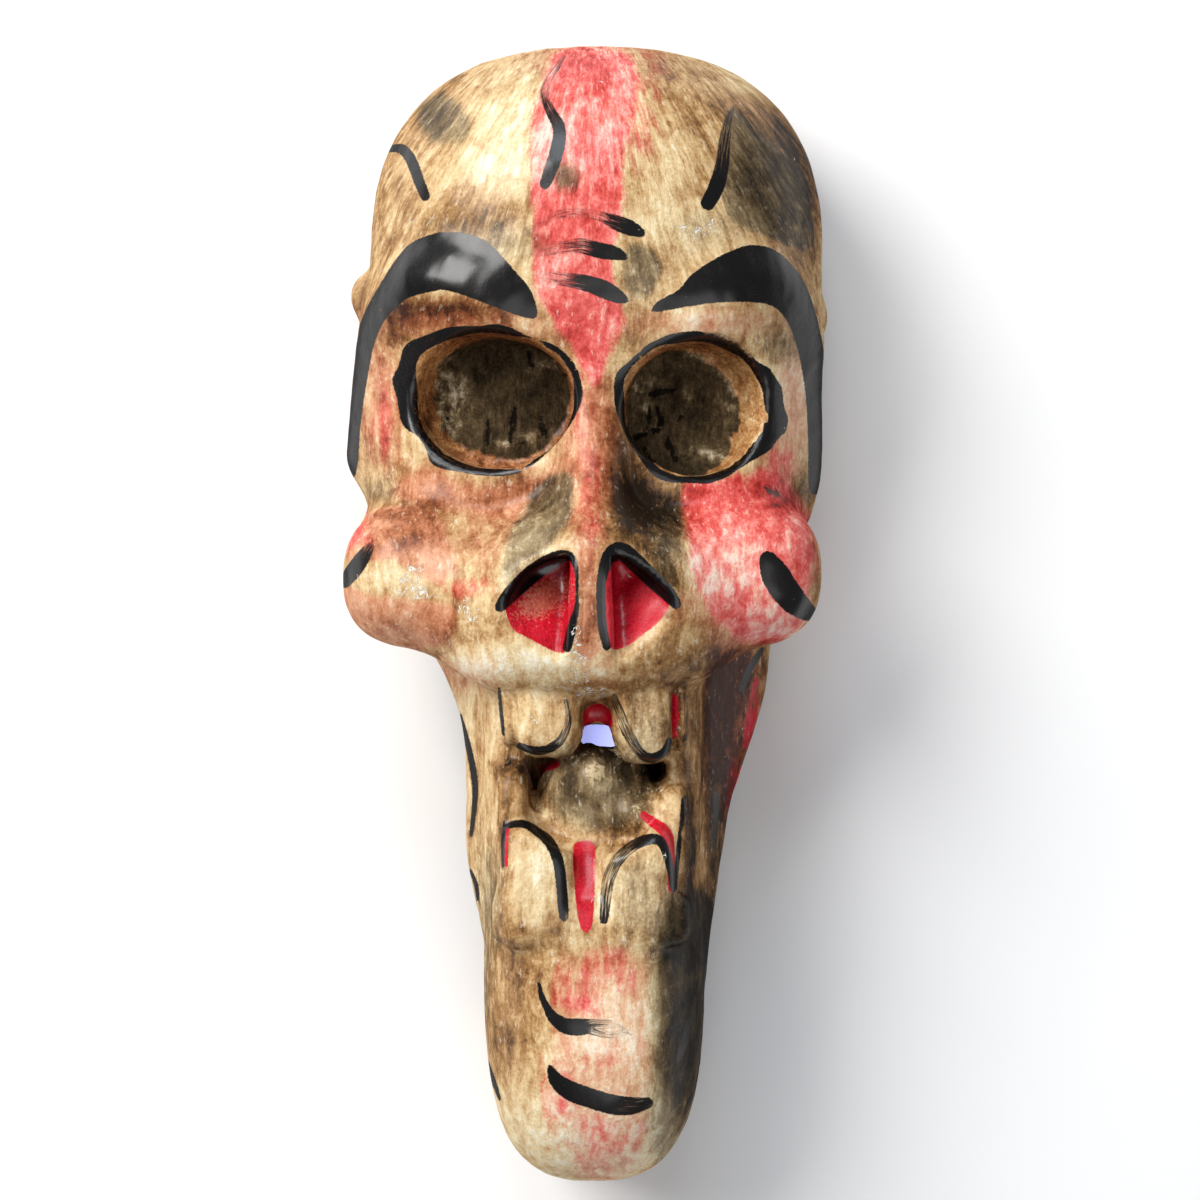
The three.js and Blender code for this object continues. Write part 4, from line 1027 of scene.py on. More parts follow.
class Signal:
    """A shader socket that takes part in sums, each of which adds a Math node."""

    def __init__(self, recipe: "Recipe", socket: bpy.types.NodeSocket) -> None:
        """Wrap a socket of a recipe."""
        self.recipe = recipe
        self.socket = socket

    def _sum(self, operation: str, first: object, second: object, clamp: bool = False) -> "Signal":
        """Add a Math node on two values."""
        settings = {"operation": operation, "use_clamp": clamp}
        made = self.recipe.node("ShaderNodeMath", settings, {0: first, 1: second})
        return Signal(self.recipe, made.outputs[0])

    def __add__(self, other: object) -> "Signal":
        """Sum."""
        return self._sum("ADD", self, other)

    def __radd__(self, other: object) -> "Signal":
        """Sum, from the right."""
        return self._sum("ADD", other, self)

    def __sub__(self, other: object) -> "Signal":
        """Difference."""
        return self._sum("SUBTRACT", self, other)

    def __rsub__(self, other: object) -> "Signal":
        """Difference, from the right."""
        return self._sum("SUBTRACT", other, self)

    def __mul__(self, other: object) -> "Signal":
        """Product."""
        return self._sum("MULTIPLY", self, other)

    def __rmul__(self, other: object) -> "Signal":
        """Product, from the right."""
        return self._sum("MULTIPLY", other, self)

    def __truediv__(self, other: object) -> "Signal":
        """Quotient."""
        return self._sum("DIVIDE", self, other)

    def highest(self, other: object) -> "Signal":
        """The higher of two values."""
        return self._sum("MAXIMUM", self, other)

    def clamped(self) -> "Signal":
        """Held between 0 and 1."""
        return self._sum("ADD", self, 0.0, clamp=True)

    def rise(self, low: float, high: float) -> "Signal":
        """A soft step from 0 at low to 1 at high."""
        made = self.recipe.node("ShaderNodeMapRange", {"interpolation_type": "SMOOTHSTEP"},
                                {"Value": self, "From Min": low, "From Max": high})
        return Signal(self.recipe, made.outputs[0])


class Recipe:
    """A material's node tree, laid out by small calls."""

    def __init__(self, name: str) -> None:
        """Start an empty material."""
        self.material = bpy.data.materials.new(name)
        self.material.use_nodes = True
        self.tree = self.material.node_tree
        self.tree.nodes.clear()

    def node(self, kind: str, settings: dict[str, object], values: dict[object, object]) -> bpy.types.Node:
        """Add a node.

        Args:
            kind: Blender's name for its type.
            settings: Its own settings, set first.
            values: What goes to its sockets, by name or number: a signal is linked, anything else is set.

        Returns:
            The new node.
        """
        made = self.tree.nodes.new(kind)
        for name, value in settings.items():
            setattr(made, name, value)
        for key, value in values.items():
            if isinstance(value, Signal):
                self.tree.links.new(value.socket, made.inputs[key])
            else:
                made.inputs[key].default_value = value
        return made

    def blend(self, share: object, under: object, over: object, mode: str = "MIX") -> Signal:
        """Lay one colour over another.

        Args:
            share: How much of the upper colour shows.
            under: The colour below.
            over: The colour above.
            mode: How the two meet.

        Returns:
            The mixed colour.
        """
        made = self.node("ShaderNodeMix", {"data_type": "RGBA", "blend_type": mode, "clamp_factor": True},
                         {0: share, 6: under, 7: over})
        return Signal(self, made.outputs[2])

    def attribute(self, name: str) -> Signal:
        """A value that the mesh carries."""
        made = self.node("ShaderNodeAttribute", {"attribute_type": "GEOMETRY", "attribute_name": name}, {})
        return Signal(self, made.outputs["Fac"])

    def vector(self, name: str) -> Signal:
        """A place that the mesh carries."""
        made = self.node("ShaderNodeAttribute", {"attribute_type": "GEOMETRY", "attribute_name": name}, {})
        return Signal(self, made.outputs["Vector"])

    def place(self) -> Signal:
        """The object's own coordinates."""
        return Signal(self, self.node("ShaderNodeTexCoord", {}, {}).outputs["Object"])

    def stretched(self, where: Signal, along: Row) -> Signal:
        """Coordinates scaled along each axis: a low scale draws a pattern out."""
        made = self.node("ShaderNodeVectorMath", {"operation": "MULTIPLY"}, {0: where, 1: along})
        return Signal(self, made.outputs[0])

    def warped(self, where: Signal, scale: float, amount: float) -> Signal:
        """Coordinates pushed about by noise, by up to half the amount in metres."""
        made = self.node("ShaderNodeTexNoise", {"noise_dimensions": "3D"},
                         {"Vector": where, "Scale": scale, "Detail": 2.0})
        push = self.node("ShaderNodeVectorMath", {"operation": "MULTIPLY_ADD"},
                         {0: Signal(self, made.outputs[1]), 1: (amount,) * 3, 2: where})
        return Signal(self, push.outputs[0])

    def noise(self, where: Signal, scale: float, detail: float = 3.0, rough: float = 0.55,
              curl: float = 0.0) -> Signal:
        """Cloudy noise about a half."""
        made = self.node("ShaderNodeTexNoise", {"noise_dimensions": "3D"},
                         {"Vector": where, "Scale": scale, "Detail": detail, "Roughness": rough,
                          "Distortion": curl})
        return Signal(self, made.outputs[0])

    def ramp(self, tone: Signal, tones: tuple[Row, ...]) -> Signal:
        """Evenly spaced paints from dark to pale, chosen by a tone of 0 to 1."""
        made = self.node("ShaderNodeValToRGB", {}, {"Fac": tone})
        stops = made.color_ramp.elements
        while len(stops) < len(tones):
            stops.new(0.5)
        for n, shade in enumerate(tones):
            stops[n].position = n / (len(tones) - 1)
            stops[n].color = paint(*shade)
        return Signal(self, made.outputs[0])

    def cracks(self, where: Signal, scale: float) -> Signal:
        """Distance from the borders of seeded cells."""
        made = self.node("ShaderNodeTexVoronoi", {"feature": "DISTANCE_TO_EDGE"},
                         {"Vector": where, "Scale": scale})
        return Signal(self, made.outputs["Distance"])

    def finish(self, colour: object, roughness: object, height: Signal | None, bump: float,
               constants: dict[str, object]) -> bpy.types.Material:
        """Close the tree with one shader.

        Args:
            colour: Base colour.
            roughness: Roughness.
            height: Relief from about 0 to 1, or None.
            bump: Metres that a height of 1 stands for.
            constants: Values set on the shader's own sockets.

        Returns:
            The material.
        """
        values: dict[object, object] = {"Base Color": colour, "Roughness": roughness, **constants}
        if height is not None:
            lifted = self.node("ShaderNodeBump", {}, {"Strength": 1.0, "Distance": bump, "Height": height})
            values["Normal"] = Signal(self, lifted.outputs[0])
        shader = self.node("ShaderNodeBsdfPrincipled", {}, values)
        self.node("ShaderNodeOutputMaterial", {}, {"Surface": Signal(self, shader.outputs[0])})
        return self.material


Tones = tuple[Row, ...]


@dataclass(frozen=True)
class Wash:
    """A thin coat: its tones from dark to pale, how strong, soft-edged and lively it is."""

    tint: Tint
    tones: Tones
    strength: float
    soft: float
    lively: float


class Grain:
    """The noises and the mesh's values that several coats share, the noises about nought."""

    octave_balance: float = 0.92

    def __init__(self, r: Recipe) -> None:
        """Lay them out, drawn along the brush where the brush made them."""
        self.where = r.place()
        drifted = r.warped(self.where, 42, 0.011)
        sweep = r.vector("sweep")
        pulled = r.warped(sweep, 50, 0.005)
        # It has no octaves finer than 0.3 mm, and without them the others would be stronger
        self.mottle = r.noise(r.stretched(r.warped(sweep, 42, 0.011), (1, 0.42, 0.5)), 92, 5, 0.7) - 0.5
        self.mottle = self.mottle * self.octave_balance
        self.stain = r.noise(drifted, 27, 4, 0.6) - 0.5
        self.brush = r.noise(r.stretched(pulled, (1, 0.1, 0.3)), 520, 4, 0.68) - 0.5
        self.hair = r.noise(r.stretched(pulled, (1, 0.2, 0.3)), 1150, 3, 0.6) - 0.5
        self.grit = r.noise(r.stretched(r.warped(sweep, 160, 0.003), (1, 0.45, 0.5)), 420, 5, 0.68) - 0.5
        self.speck = r.noise(self.where, 1000, 3, 0.65) - 0.5
        self.fibre = r.noise(r.stretched(drifted, (1, 0.22, 0.5)), 620, 5, 0.72) - 0.5
        self.tide = 1.0 - (self.stain * self.stain * 700.0).clamped()
        self.torn = 0.5 + self.mottle * 1.5 + self.brush * 1.3 + self.speck * 0.4
        self.crease = r.attribute("crease")
        self.cream = r.attribute(Tint.CREAM.value)
        self.brown = r.attribute(Tint.BROWN.value)
        self.dirt = r.attribute(Tint.DIRT.value)


@dataclass(frozen=True)
class PaintedWood:
    """House paint over gesso on carved wood: washed, lined with glossy black, varnished, stained and chipped,
    with painted shade in its creases and cracks and painted glints on its brush marks.

    Each paint is given as its tones from the darkest to the palest.
    """

    ground: Tones = ((42, 29, 18), (104, 72, 40), (164, 122, 76), (208, 174, 126), (234, 212, 168),
                     (249, 241, 220))
    pink: Tones = ((110, 24, 22), (196, 48, 50), (228, 88, 88), (246, 146, 140), (252, 212, 198))
    salmon: Tones = ((70, 34, 19), (146, 80, 48), (200, 130, 96), (226, 168, 134), (246, 216, 186))
    olive: Tones = ((26, 21, 14), (68, 57, 39), (118, 101, 74), (160, 143, 110), (206, 190, 154))
    red: Tones = ((74, 4, 10), (156, 10, 26), (200, 18, 40), (220, 40, 58), (240, 122, 122))
    dust_red: Tones = ((70, 26, 20), (140, 62, 50), (172, 100, 80), (192, 140, 112), (222, 190, 166))
    black: Row = (13, 12, 13)
    worn_black: Row = (66, 44, 34)
    gesso: Row = (238, 232, 220)
    floor: Tones = ((16, 12, 8), (54, 43, 29), (82, 67, 46), (112, 94, 68), (164, 146, 116), (214, 202, 178))
    side: Tones = ((52, 32, 18), (118, 74, 40), (172, 118, 70), (208, 162, 108), (232, 204, 158))
    bare: Tones = ((60, 42, 28), (108, 76, 48), (150, 112, 72), (182, 144, 98), (206, 174, 130))
    # The painted shade inside the cracks of the socket floors
    deep: Row = (12, 9, 7)
    wood_shine: float = 0.08
    varnish_roughness: float = 0.23
    bare_roughness: float = 0.82
    relief_depth: float = 0.0009

    @property
    def washes(self) -> tuple[Wash, ...]:
        """The thin coats, in the order that they were laid."""
        return (
            Wash(Tint.SALMON, self.salmon, 0.88, 0.8, 0.2),
            Wash(Tint.PINK, self.pink, 0.9, 0.6, 0.8),
            Wash(Tint.OLIVE, self.olive, 0.88, 0.75, 0.0),
        )

    def build(self) -> bpy.types.Material:
        """Lay out the material.

        Returns:
            The material, which reads the mesh's own values.
        """
        r = Recipe("painted_wood")
        g = Grain(r)
        colour = self.washed(r, g)
        red_cover, cover = self.covers(r, g)
        colour = r.blend(red_cover, colour, self.enamel(r, g))
        dry = r.attribute("ink_dry")
        worn = (dry * 1.2 + g.mottle).clamped() * 0.6
        colour = r.blend(cover, colour, r.blend(worn, paint(*self.black), paint(*self.worn_black)))
        chips = self.chipped(r, g)
        colour = r.blend(chips, colour, paint(*self.gesso))
        colour, raw = self.socket_wood(r, g, colour, cover)
        back = ((r.attribute("back") - 0.75 + g.mottle * 0.8 + g.speck * 0.4) / 0.1).clamped()
        plank = 0.5 + g.fibre * 1.5 + g.stain * 1.2 + g.mottle * 0.5
        colour = r.blend(back, colour, r.ramp(plank, self.bare))

        bare = raw.highest(back).clamped()
        gloss = 0.4 + g.mottle * 0.3 + g.speck * 0.3 + g.crease * 0.2
        gloss = gloss - cover * 0.14 - red_cover * 0.2 + chips * 0.3
        # The front was varnished, the steep sides hardly
        varnish = r.attribute("varnish")
        rough = gloss + (self.bare_roughness - gloss) * bare + (1.0 - varnish) * 0.35
        coat = varnish * (0.32 + cover * 0.5 + red_cover * 0.5) * (1.0 - raw)
        height = g.brush * 0.4 + g.hair * 0.25 + g.grit * 0.6 + g.speck * 0.2 + g.mottle * 0.5
        height = height + cover * 0.12 + red_cover * 0.1 - chips * 0.3
        height = height * (1.0 - cover * 0.5) + g.fibre * 1.6 * bare
        shine = {"Specular IOR Level": self.wood_shine, "Coat Weight": coat,
                 "Coat Roughness": self.varnish_roughness}
        return r.finish(colour, rough, height, self.relief_depth, shine)

    def washed(self, r: Recipe, g: Grain) -> Signal:
        """The stained ground with its thin washes, and painted glints along the brush marks and rubbed edges
        over them.
        """
        # The ground is darkened by grime and by painted shade in creases and marked hollows
        tone = 0.62 + g.cream * 0.2 - g.brown * 0.3 - g.dirt * 0.46 - g.crease * 0.26
        tone = tone + g.mottle * 0.85 + g.stain * 0.6 + g.grit * 0.55 + g.brush * 0.75 + g.speck * 0.4
        tone = tone - g.tide * 0.09
        patchwork = g.mottle * 0.7 + g.grit * 0.9
        colour = r.ramp(tone, self.ground)
        for wash in self.washes:
            share = r.attribute(wash.tint.value)
            cover = ((share * 1.15 - g.torn) / wash.soft + 0.5).clamped()
            cover = cover * (share * 4.0).clamped() * wash.strength
            colour = r.blend(cover, colour, r.ramp(tone + patchwork * wash.lively, wash.tones))
        # Painted glints: pale flecks along the brush marks stand in for highlights
        brush_glints = ((g.hair + g.grit * 0.5 - 0.13) / 0.05).clamped() * (1.0 - g.dirt).clamped() * 0.3
        colour = r.blend(brush_glints, colour, paint(*self.ground[-1]))
        rubbed = ((r.attribute("edge") * 1.2 + g.speck * 2.0 + g.brush - 0.75) / 0.3).clamped() * 0.5
        return r.blend(rubbed, colour, paint(*self.ground[-2]))

    def covers(self, r: Recipe, g: Grain) -> tuple[Signal, Signal]:
        """How much of the red and of the black shows, with ragged edges, dry bristles and flecks."""
        ragged = g.speck * 1.2 + g.brush * 0.5
        gaps = ((r.attribute("red_dry") - g.torn) / 0.2).clamped() * 0.9
        red = ((ragged - r.attribute("red")) / 0.3 + 0.5).clamped() * (1.0 - gaps)
        dry = r.attribute("ink_dry")
        bristle = 0.5 + (r.noise(r.vector("run"), 1.0, 3, 0.6) - 0.5) * 2.2
        gaps = ((dry * 1.3 - bristle) / 0.5 + 0.5).clamped() * (dry * 5.0).clamped() * 0.85
        flecks = ((g.speck * 1.4 + g.mottle * 0.8 - 0.36) / 0.06).clamped() * 0.5
        black = ((ragged * 0.8 - r.attribute("ink")) / 0.25 + 0.5).clamped() * (1.0 - gaps) * (1.0 - flecks)
        return red, black

    def enamel(self, r: Recipe, g: Grain) -> Signal:
        """The red of the pockets and lines, dusty where it is worn."""
        # Darker in the creases, with grime and painted shade
        tone = 0.5 + g.mottle * 1.2 + g.speck * 0.9 - g.crease * 0.2
        worn = ((r.attribute("worn_red") + g.speck * 2.0 - 0.35) / 0.2).clamped() * 0.8
        return r.blend(worn, r.ramp(tone, self.red), r.ramp(tone, self.dust_red))

    def chipped(self, r: Recipe, g: Grain) -> Signal:
        """Chips down to the gesso, in short curls."""
        curl = r.noise(g.where, 300, 2, 0.5, 1.2) - 0.5
        curl = 1.0 - (curl * curl * 620.0).clamped()
        patchy = ((r.noise(g.where, 130, 2) + r.attribute("chips") * 0.36 - 0.74) / 0.04).clamped()
        return ((curl - 0.3) / 0.3).clamped() * patchy

    def socket_wood(self, r: Recipe, g: Grain, colour: Signal, ink: Signal) -> tuple[Signal, Signal]:
        """Lay the crazed walls and the bare floors of the sockets over the paint, with painted shade in the
        cracks.

        Args:
            r: The recipe.
            g: Its shared noises.
            colour: The colour so far.
            ink: How much of the black shows.

        Returns:
            The new colour, and how bare the wood is.
        """
        wall = r.attribute("side")
        tone = 0.52 + g.mottle * 1.2 + g.grit * 1.4 + g.speck * 0.8
        # Darker in the creases, with grime and painted shade
        tone = tone - g.crease * 0.25 + g.cream * 0.25 - g.brown * 0.3
        side = r.blend(r.attribute("salmon") * 0.7, r.ramp(tone, self.side), r.ramp(tone, self.salmon))
        colour = r.blend(wall * (1.0 - ink), colour, side)
        crazing = r.cracks(r.warped(g.where, 260, 0.004), 300)
        lines = (1.0 - (crazing / 0.06).clamped()) * wall * 0.55
        colour = r.blend(lines, colour, paint(*self.side[1]))
        raw = (r.attribute("raw") * 1.5 + g.mottle - 0.2).clamped()
        timber = 0.3 + g.fibre * 0.7 + g.mottle * 0.7 + g.grit * 0.7 + g.speck * 0.5
        timber = timber + r.attribute("dust") * (0.42 + g.grit * 1.6 + g.mottle).clamped()
        colour = r.blend(raw, colour, r.ramp(timber, self.floor))
        # Painted shade: the cracks are darkened nearly to black for the shade inside them
        split = (r.attribute("crack") + g.grit * 2.6 + g.speck).rise(0.3, -0.3) * 0.9
        return r.blend(split, colour, paint(*self.deep)), raw


@dataclass(frozen=True)
class StudioFloor:
    """Matt pale card."""

    pale: Row = (250, 250, 251)
    shade: Row = (247, 247, 248)

    def build(self) -> bpy.types.Material:
        """Lay out the material.

        Returns:
            The material.
        """
        r = Recipe("studio_card")
        colour = r.blend(r.noise(r.place(), 6, 2), paint(*self.shade), paint(*self.pale))
        return r.finish(colour, 0.9, None, 0.0, {"Specular IOR Level": 0.2})


# The mask


@dataclass
class SkullMask:
    """The whole carved block: its mesh, its marks and its finish."""

    carving: Carving = field(default_factory=Carving)
    sight: Sight = field(default_factory=Sight)
    finish: PaintedWood = field(default_factory=PaintedWood)
    voxel: float = 0.00156
    offset: Row = (1.013, -0.347, 0.0)
    inside_share: float = 0.16
    floor_top: float = 84.0
    end_slope: float = 0.36
    stroke_length: float = 7.0
    stroke_width: float = 0.55

    def build(self) -> bpy.types.Object:
        """Carve and dress the mask.

        Returns:
            The finished piece.
        """
        piece = self.rough_out()
        self.thin_the_back(piece)
        p = self.carve(piece)
        self.dress(piece, p)
        piece.data.materials.clear()
        piece.data.materials.append(self.finish.build())
        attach(piece, "root")
        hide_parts("skull_mask")
        corners = sum(len(face.vertices) - 2 for face in piece.data.polygons)
        log.info("%s: %d triangles", piece.name, corners)
        return piece

    def rough_out(self) -> bpy.types.Object:
        """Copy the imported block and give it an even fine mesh.

        Returns:
            The new piece.
        """
        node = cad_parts["skull_mask"]
        piece = bpy.data.objects.new("carved_mask", node.data.copy())
        bpy.context.scene.collection.objects.link(piece)
        self.take(piece)
        bpy.ops.object.mode_set(mode="EDIT")
        bpy.ops.mesh.select_all(action="SELECT")
        bpy.ops.mesh.remove_doubles(threshold=1e-6)
        bpy.ops.object.mode_set(mode="OBJECT")
        remesh = piece.modifiers.new("even", "REMESH")
        remesh.mode = "VOXEL"
        remesh.voxel_size = self.voxel
        bpy.ops.object.modifier_apply(modifier=remesh.name)
        return piece

    def take(self, piece: bpy.types.Object) -> None:
        """Select one piece alone and make it active."""
        bpy.ops.object.select_all(action="DESELECT")
        piece.select_set(True)
        bpy.context.view_layer.objects.active = piece

    def points(self, piece: bpy.types.Object) -> Array:
        """Its points on the drawn mask, in millimetres, as three rows."""
        flat = np.empty(3 * len(piece.data.vertices))
        piece.data.vertices.foreach_get("co", flat)
        return (flat.reshape(-1, 3) * 1000 - np.array(self.offset)).T

    def thin_the_back(self, piece: bpy.types.Object) -> None:
        """Spend fewer faces on the hollow and the rim, which are plainer."""
        p = self.points(piece)
        inside = self.carving.hollow(p, self.carving.skin(p)) < 3
        group = piece.vertex_groups.new(name="inside")
        group.add([int(n) for n in np.flatnonzero(inside)], 1.0, "REPLACE")
        self.take(piece)
        thin = piece.modifiers.new("thin", "DECIMATE")
        thin.vertex_group = group.name
        thin.ratio = 1 - inside.mean() * (1 - self.inside_share)
        bpy.ops.object.modifier_apply(modifier=thin.name)
        piece.vertex_groups.clear()

    def carve(self, piece: bpy.types.Object) -> Array:
        """Bring the mesh to the true forms and cut the tool marks.

        Args:
            piece: The piece to carve.

        Returns:
            The new points on the drawn mask, in millimetres.
        """
        p = self.points(piece)
        floor = p[2] < 0.75
        for _ in range(2):
            away = self.carving.distance(p)
            way = self.carving.outward(p)
            way[2] = np.where(floor, 0, way[2])
            move = np.clip(away, -2, 2)
            move = np.where(floor & (np.abs(away) > 1.4), 0, move)
            p = p - way * move
            p[2] = np.where(floor, 0, np.maximum(p[2], 0))
        way = self.carving.outward(p)
        p = p + way * self.relief(p, way)
        p[2] = np.where(floor, 0, np.maximum(p[2], 0))
        flat = ((p.T + np.array(self.offset)) / 1000).ravel()
        piece.data.vertices.foreach_set("co", flat)
        piece.data.polygons.foreach_set("use_smooth", np.ones(len(piece.data.polygons), bool))
        piece.data.update()
        return p

    def relief(self, p: Array, way: Array) -> Array:
        """Height of the tool marks along the surface's own direction, in millimetres.

        Args:
            p: Points of the surface.
            way: Directions out of the wood there; not used.

        Returns:
            How far each point moves out.
        """
        waves, chips, lumps = Noise(3), Noise(11), Noise(29)
        hollow = self.carving.hollow(p, self.carving.skin(p))
        inside = 1 - rise(hollow, 1.0, 4.0)
        rise_up = rise(p[2], 0, 5)
        skin = 0.45 * waves.at(p / 31) + 0.3 * (0.5 - np.abs(waves.at(p / 11.0 + 7)))
        skin = skin + 0.12 * chips.at(p / 4.3)
        scallop = 0.9 * (chips.cells(p / np.array([[13.0], [17.0], [13.0]])) - 0.5)
        height = skin * (1 - inside) + scallop * inside
        for shape in self.carving.sockets:
            deep = rise(-shape.wall(p), -3, 1) * rise(p[2], self.floor_top, 77) * (1 - inside)
            split = np.abs(lumps.at(np.stack([p[0] / 2.6, p[1] / 11, p[2] / 9])))
            ledge = np.round(2.2 * lumps.layered(p / 9.5 + 3, 2)) * 0.5
            height = height + deep * (ledge + 0.7 * split - 0.4 + 0.4 * chips.at(p / 2.9))
        seen = self.sight.seen(p)
        socket = np.minimum(*(shape.distance(p) for shape in self.carving.sockets))
        bottom = (socket < 2) & (p[2] < self.floor_top) & (inside < 0.5)
        ridges = self.marks(RIDGES, p, seen, bottom, Place.SOCKET).edge
        cracks = self.marks(INK, p, seen, bottom, Place.SOCKET).edge
        height = height + 1.5 * rise(ridges, 1.2, -0.8) - 1.3 * rise(cracks, 0.8, -0.4)
        tongue = rise(self.carving.tongue_lumps(p), 1.5, 0.2) * (1 - inside)
        height = height + tongue * (1.5 * lumps.layered(p / 9.5, 2) + 0.4 * chips.at(p / 3))
        mouth = rise(self.carving.mouth.distance(p), 2.0, 0.0) * (1 - inside) * (1 - tongue)
        height = height + mouth * 0.6 * lumps.layered(p / 6, 2)
        return height * rise_up

    def marks(self, marks: tuple[Stroke | Shape | Ring, ...], p: Array, seen: Array, pick: Array,
              place: Place) -> Lay:
        """Lay marks of paint on the points.

        Args:
            marks: The marks.
            p: Points on the drawn mask.
            seen: The same points in the view.
            pick: Which points can take a mark.
            place: The place that is marked.

        Returns:
            The lie of the nearest mark, in millimetres.
        """
        wander = Noise(53)
        edge = np.full(p.shape[1], 4.0)
        dry, along, across = np.zeros(p.shape[1]), np.zeros(p.shape[1]), np.zeros(p.shape[1])
        step = self.sight.step(p)
        for number, mark in enumerate(marks):
            if mark.place is not place:
                continue
            rows = np.array([row[:2] for row in mark.rows], float)
            low, high = rows.min(0) - 22, rows.max(0) + 22
            at = np.flatnonzero(pick & within(seen, low, high))
            if not len(at):
                continue
            lay = mark.lay(seen[:, at])
            lowest = (self.sight.middle[1] - rows[:, 1].max()) * self.end_slope
            end = mark.back + mark.lean * np.maximum(p[1, at] - lowest, 0) + 3 * wander.at(p[:, at] / 9)
            off = np.maximum(lay.edge * step[at], (end - p[2, at]) * 0.7)
            closer = off < edge[at]
            near = at[closer]
            edge[near] = off[closer]
            dry[near] = lay.dry[closer]
            along[near] = lay.along[closer] * step[near] + 60 * number
            across[near] = lay.across[closer] * step[near]
        return Lay(edge, dry, along, across)

    def dress(self, piece: bpy.types.Object, p: Array) -> None:
        """Give the mesh the values that its finish reads.

        Args:
            piece: The piece.
            p: Its points on the drawn mask, in millimetres.
        """
        cut = self.carving
        way = cut.outward(p)
        seen = self.sight.seen(p)
        inside = (cut.hollow(p, cut.skin(p)) < 3) | (p[2] < 0.01)
        socket = np.minimum(*(shape.distance(p) for shape in cut.sockets))
        in_socket = ((socket < 1.5) | (socket < 3.5) & (p[2] < 76)) & ~inside
        faces_up = way[2] > -0.15
        low = p[2] < self.floor_top
        skin = ~inside & faces_up & ~(in_socket & low)
        ink = self.marks(INK, p, seen, skin, Place.SKIN)
        red = self.marks(RED, p, seen, skin, Place.SKIN)
        values: dict[str, Array] = {"ink": ink.edge, "ink_dry": ink.dry, "red": red.edge, "red_dry": red.dry}
        values["crack"] = self.marks(INK, p, seen, in_socket & low, Place.SOCKET).edge
        pocket = skin & (np.minimum(*(shape.distance(p) for shape in cut.nostrils)) < 3)
        worn = Patch(Tint.DUST, (543, 598), (26, 14), 1.0, turn=-30)
        values["worn_red"] = pocket * np.clip(worn.share(seen), 0, 1)
        values |= self.tints(p, seen, faces_up)
        values |= self.crease_shade_and_wear(p, way, inside)
        values |= self.bare_sockets(p, seen, socket, in_socket, ~inside & faces_up & (socket < 12))
        ridges = self.marks(RIDGES, p, seen, in_socket & low, Place.SOCKET).edge
        values["dust"] = np.maximum(values["dust"], 0.75 * rise(ridges, 0.9, -0.9))
        values["back"] = np.where(inside, 1.0, 0.5 * rise(p[2], 5, 0))
        values["varnish"] = rise(way[2], 0.3, 0.75) * (1 - values["back"])
        for name, value in values.items():
            carried = piece.data.attributes.new(name, "FLOAT", "POINT")
            carried.data.foreach_set("value", np.asarray(value, np.float32))
        # Along and across the pulls of each stroke, and of the ground's broad brush, which fans out
        fan = 90 / np.clip(240 - p[1], 45, 140)
        pulls = (ink.along / self.stroke_length, ink.across / self.stroke_width, 0 * p[0])
        sweep = (p[0] * fan / 1000, p[1] / 1000, p[2] / 1000)
        for name, rows in (("run", pulls), ("sweep", sweep)):
            carried = piece.data.attributes.new(name, "FLOAT_VECTOR", "POINT")
            carried.data.foreach_set("vector", np.asarray(np.stack(rows, axis=1), np.float32).ravel())

    def tints(self, p: Array, seen: Array, faces_up: Array) -> dict[str, Array]:
        """How much of each thin coat, stain, painted shade and painted light lies on the points.

        Args:
            p: Points on the drawn mask.
            seen: The same points in the view.
            faces_up: Which points the brush reached fully.

        Returns:
            The shares, by the names of the tints.
        """
        values: dict[str, Array] = {}
        for tint in Tint:
            left = np.ones(p.shape[1])
            for patch in TINTS:
                if patch.tint is tint:
                    left *= 1 - np.clip(patch.share(seen), 0, 1)
            values[tint.value] = (1 - left) * np.where(faces_up, 1, 0.3) * rise(p[2], 4, 34)
        sides = (1 - rise(p[2], 6, 55)) * (1 - 0.7 * rise(-p[1], 150, 175))
        cloud = Noise(41).layered(p / np.array([[24.0], [60.0], [24.0]]), 3)
        values["brown"] = np.maximum(values["brown"], np.clip(sides * (0.55 + 0.5 * cloud), 0, 1))
        # Darker towards the rim where the mask meets the floor
        darker_near_floor = np.clip((1 - rise(p[2], 1, 22)) * (0.4 + 0.5 * cloud), 0, 1)
        values["dirt"] = np.maximum(values["dirt"], darker_near_floor)
        return values

    def crease_shade_and_wear(self, p: Array, way: Array, inside: Array) -> dict[str, Array]:
        """Where the form is creased, for its grime and painted shade, and where it has an edge that was
        rubbed.
        """
        cut = self.carving
        slope = np.clip((cut.distance(p + way * 0.5) - cut.distance(p - way * 0.5)), 0.3, 1)
        broad = np.clip(1.1 - cut.distance(p + way * 7) / 7 / slope, 0, 1) ** 1.3
        tight = np.clip(1.02 - cut.distance(p + way * 2.6) / 2.6 / slope, 0, 1) * rise(-p[1], 10, 24)
        edge = np.clip((0.84 + cut.distance(p - way * 2.2) / 2.2 / slope) * 2.2, 0, 1)
        return {"crease": np.maximum(broad, np.clip(tight * 2.4, 0, 1)) * ~inside, "edge": edge * ~inside}

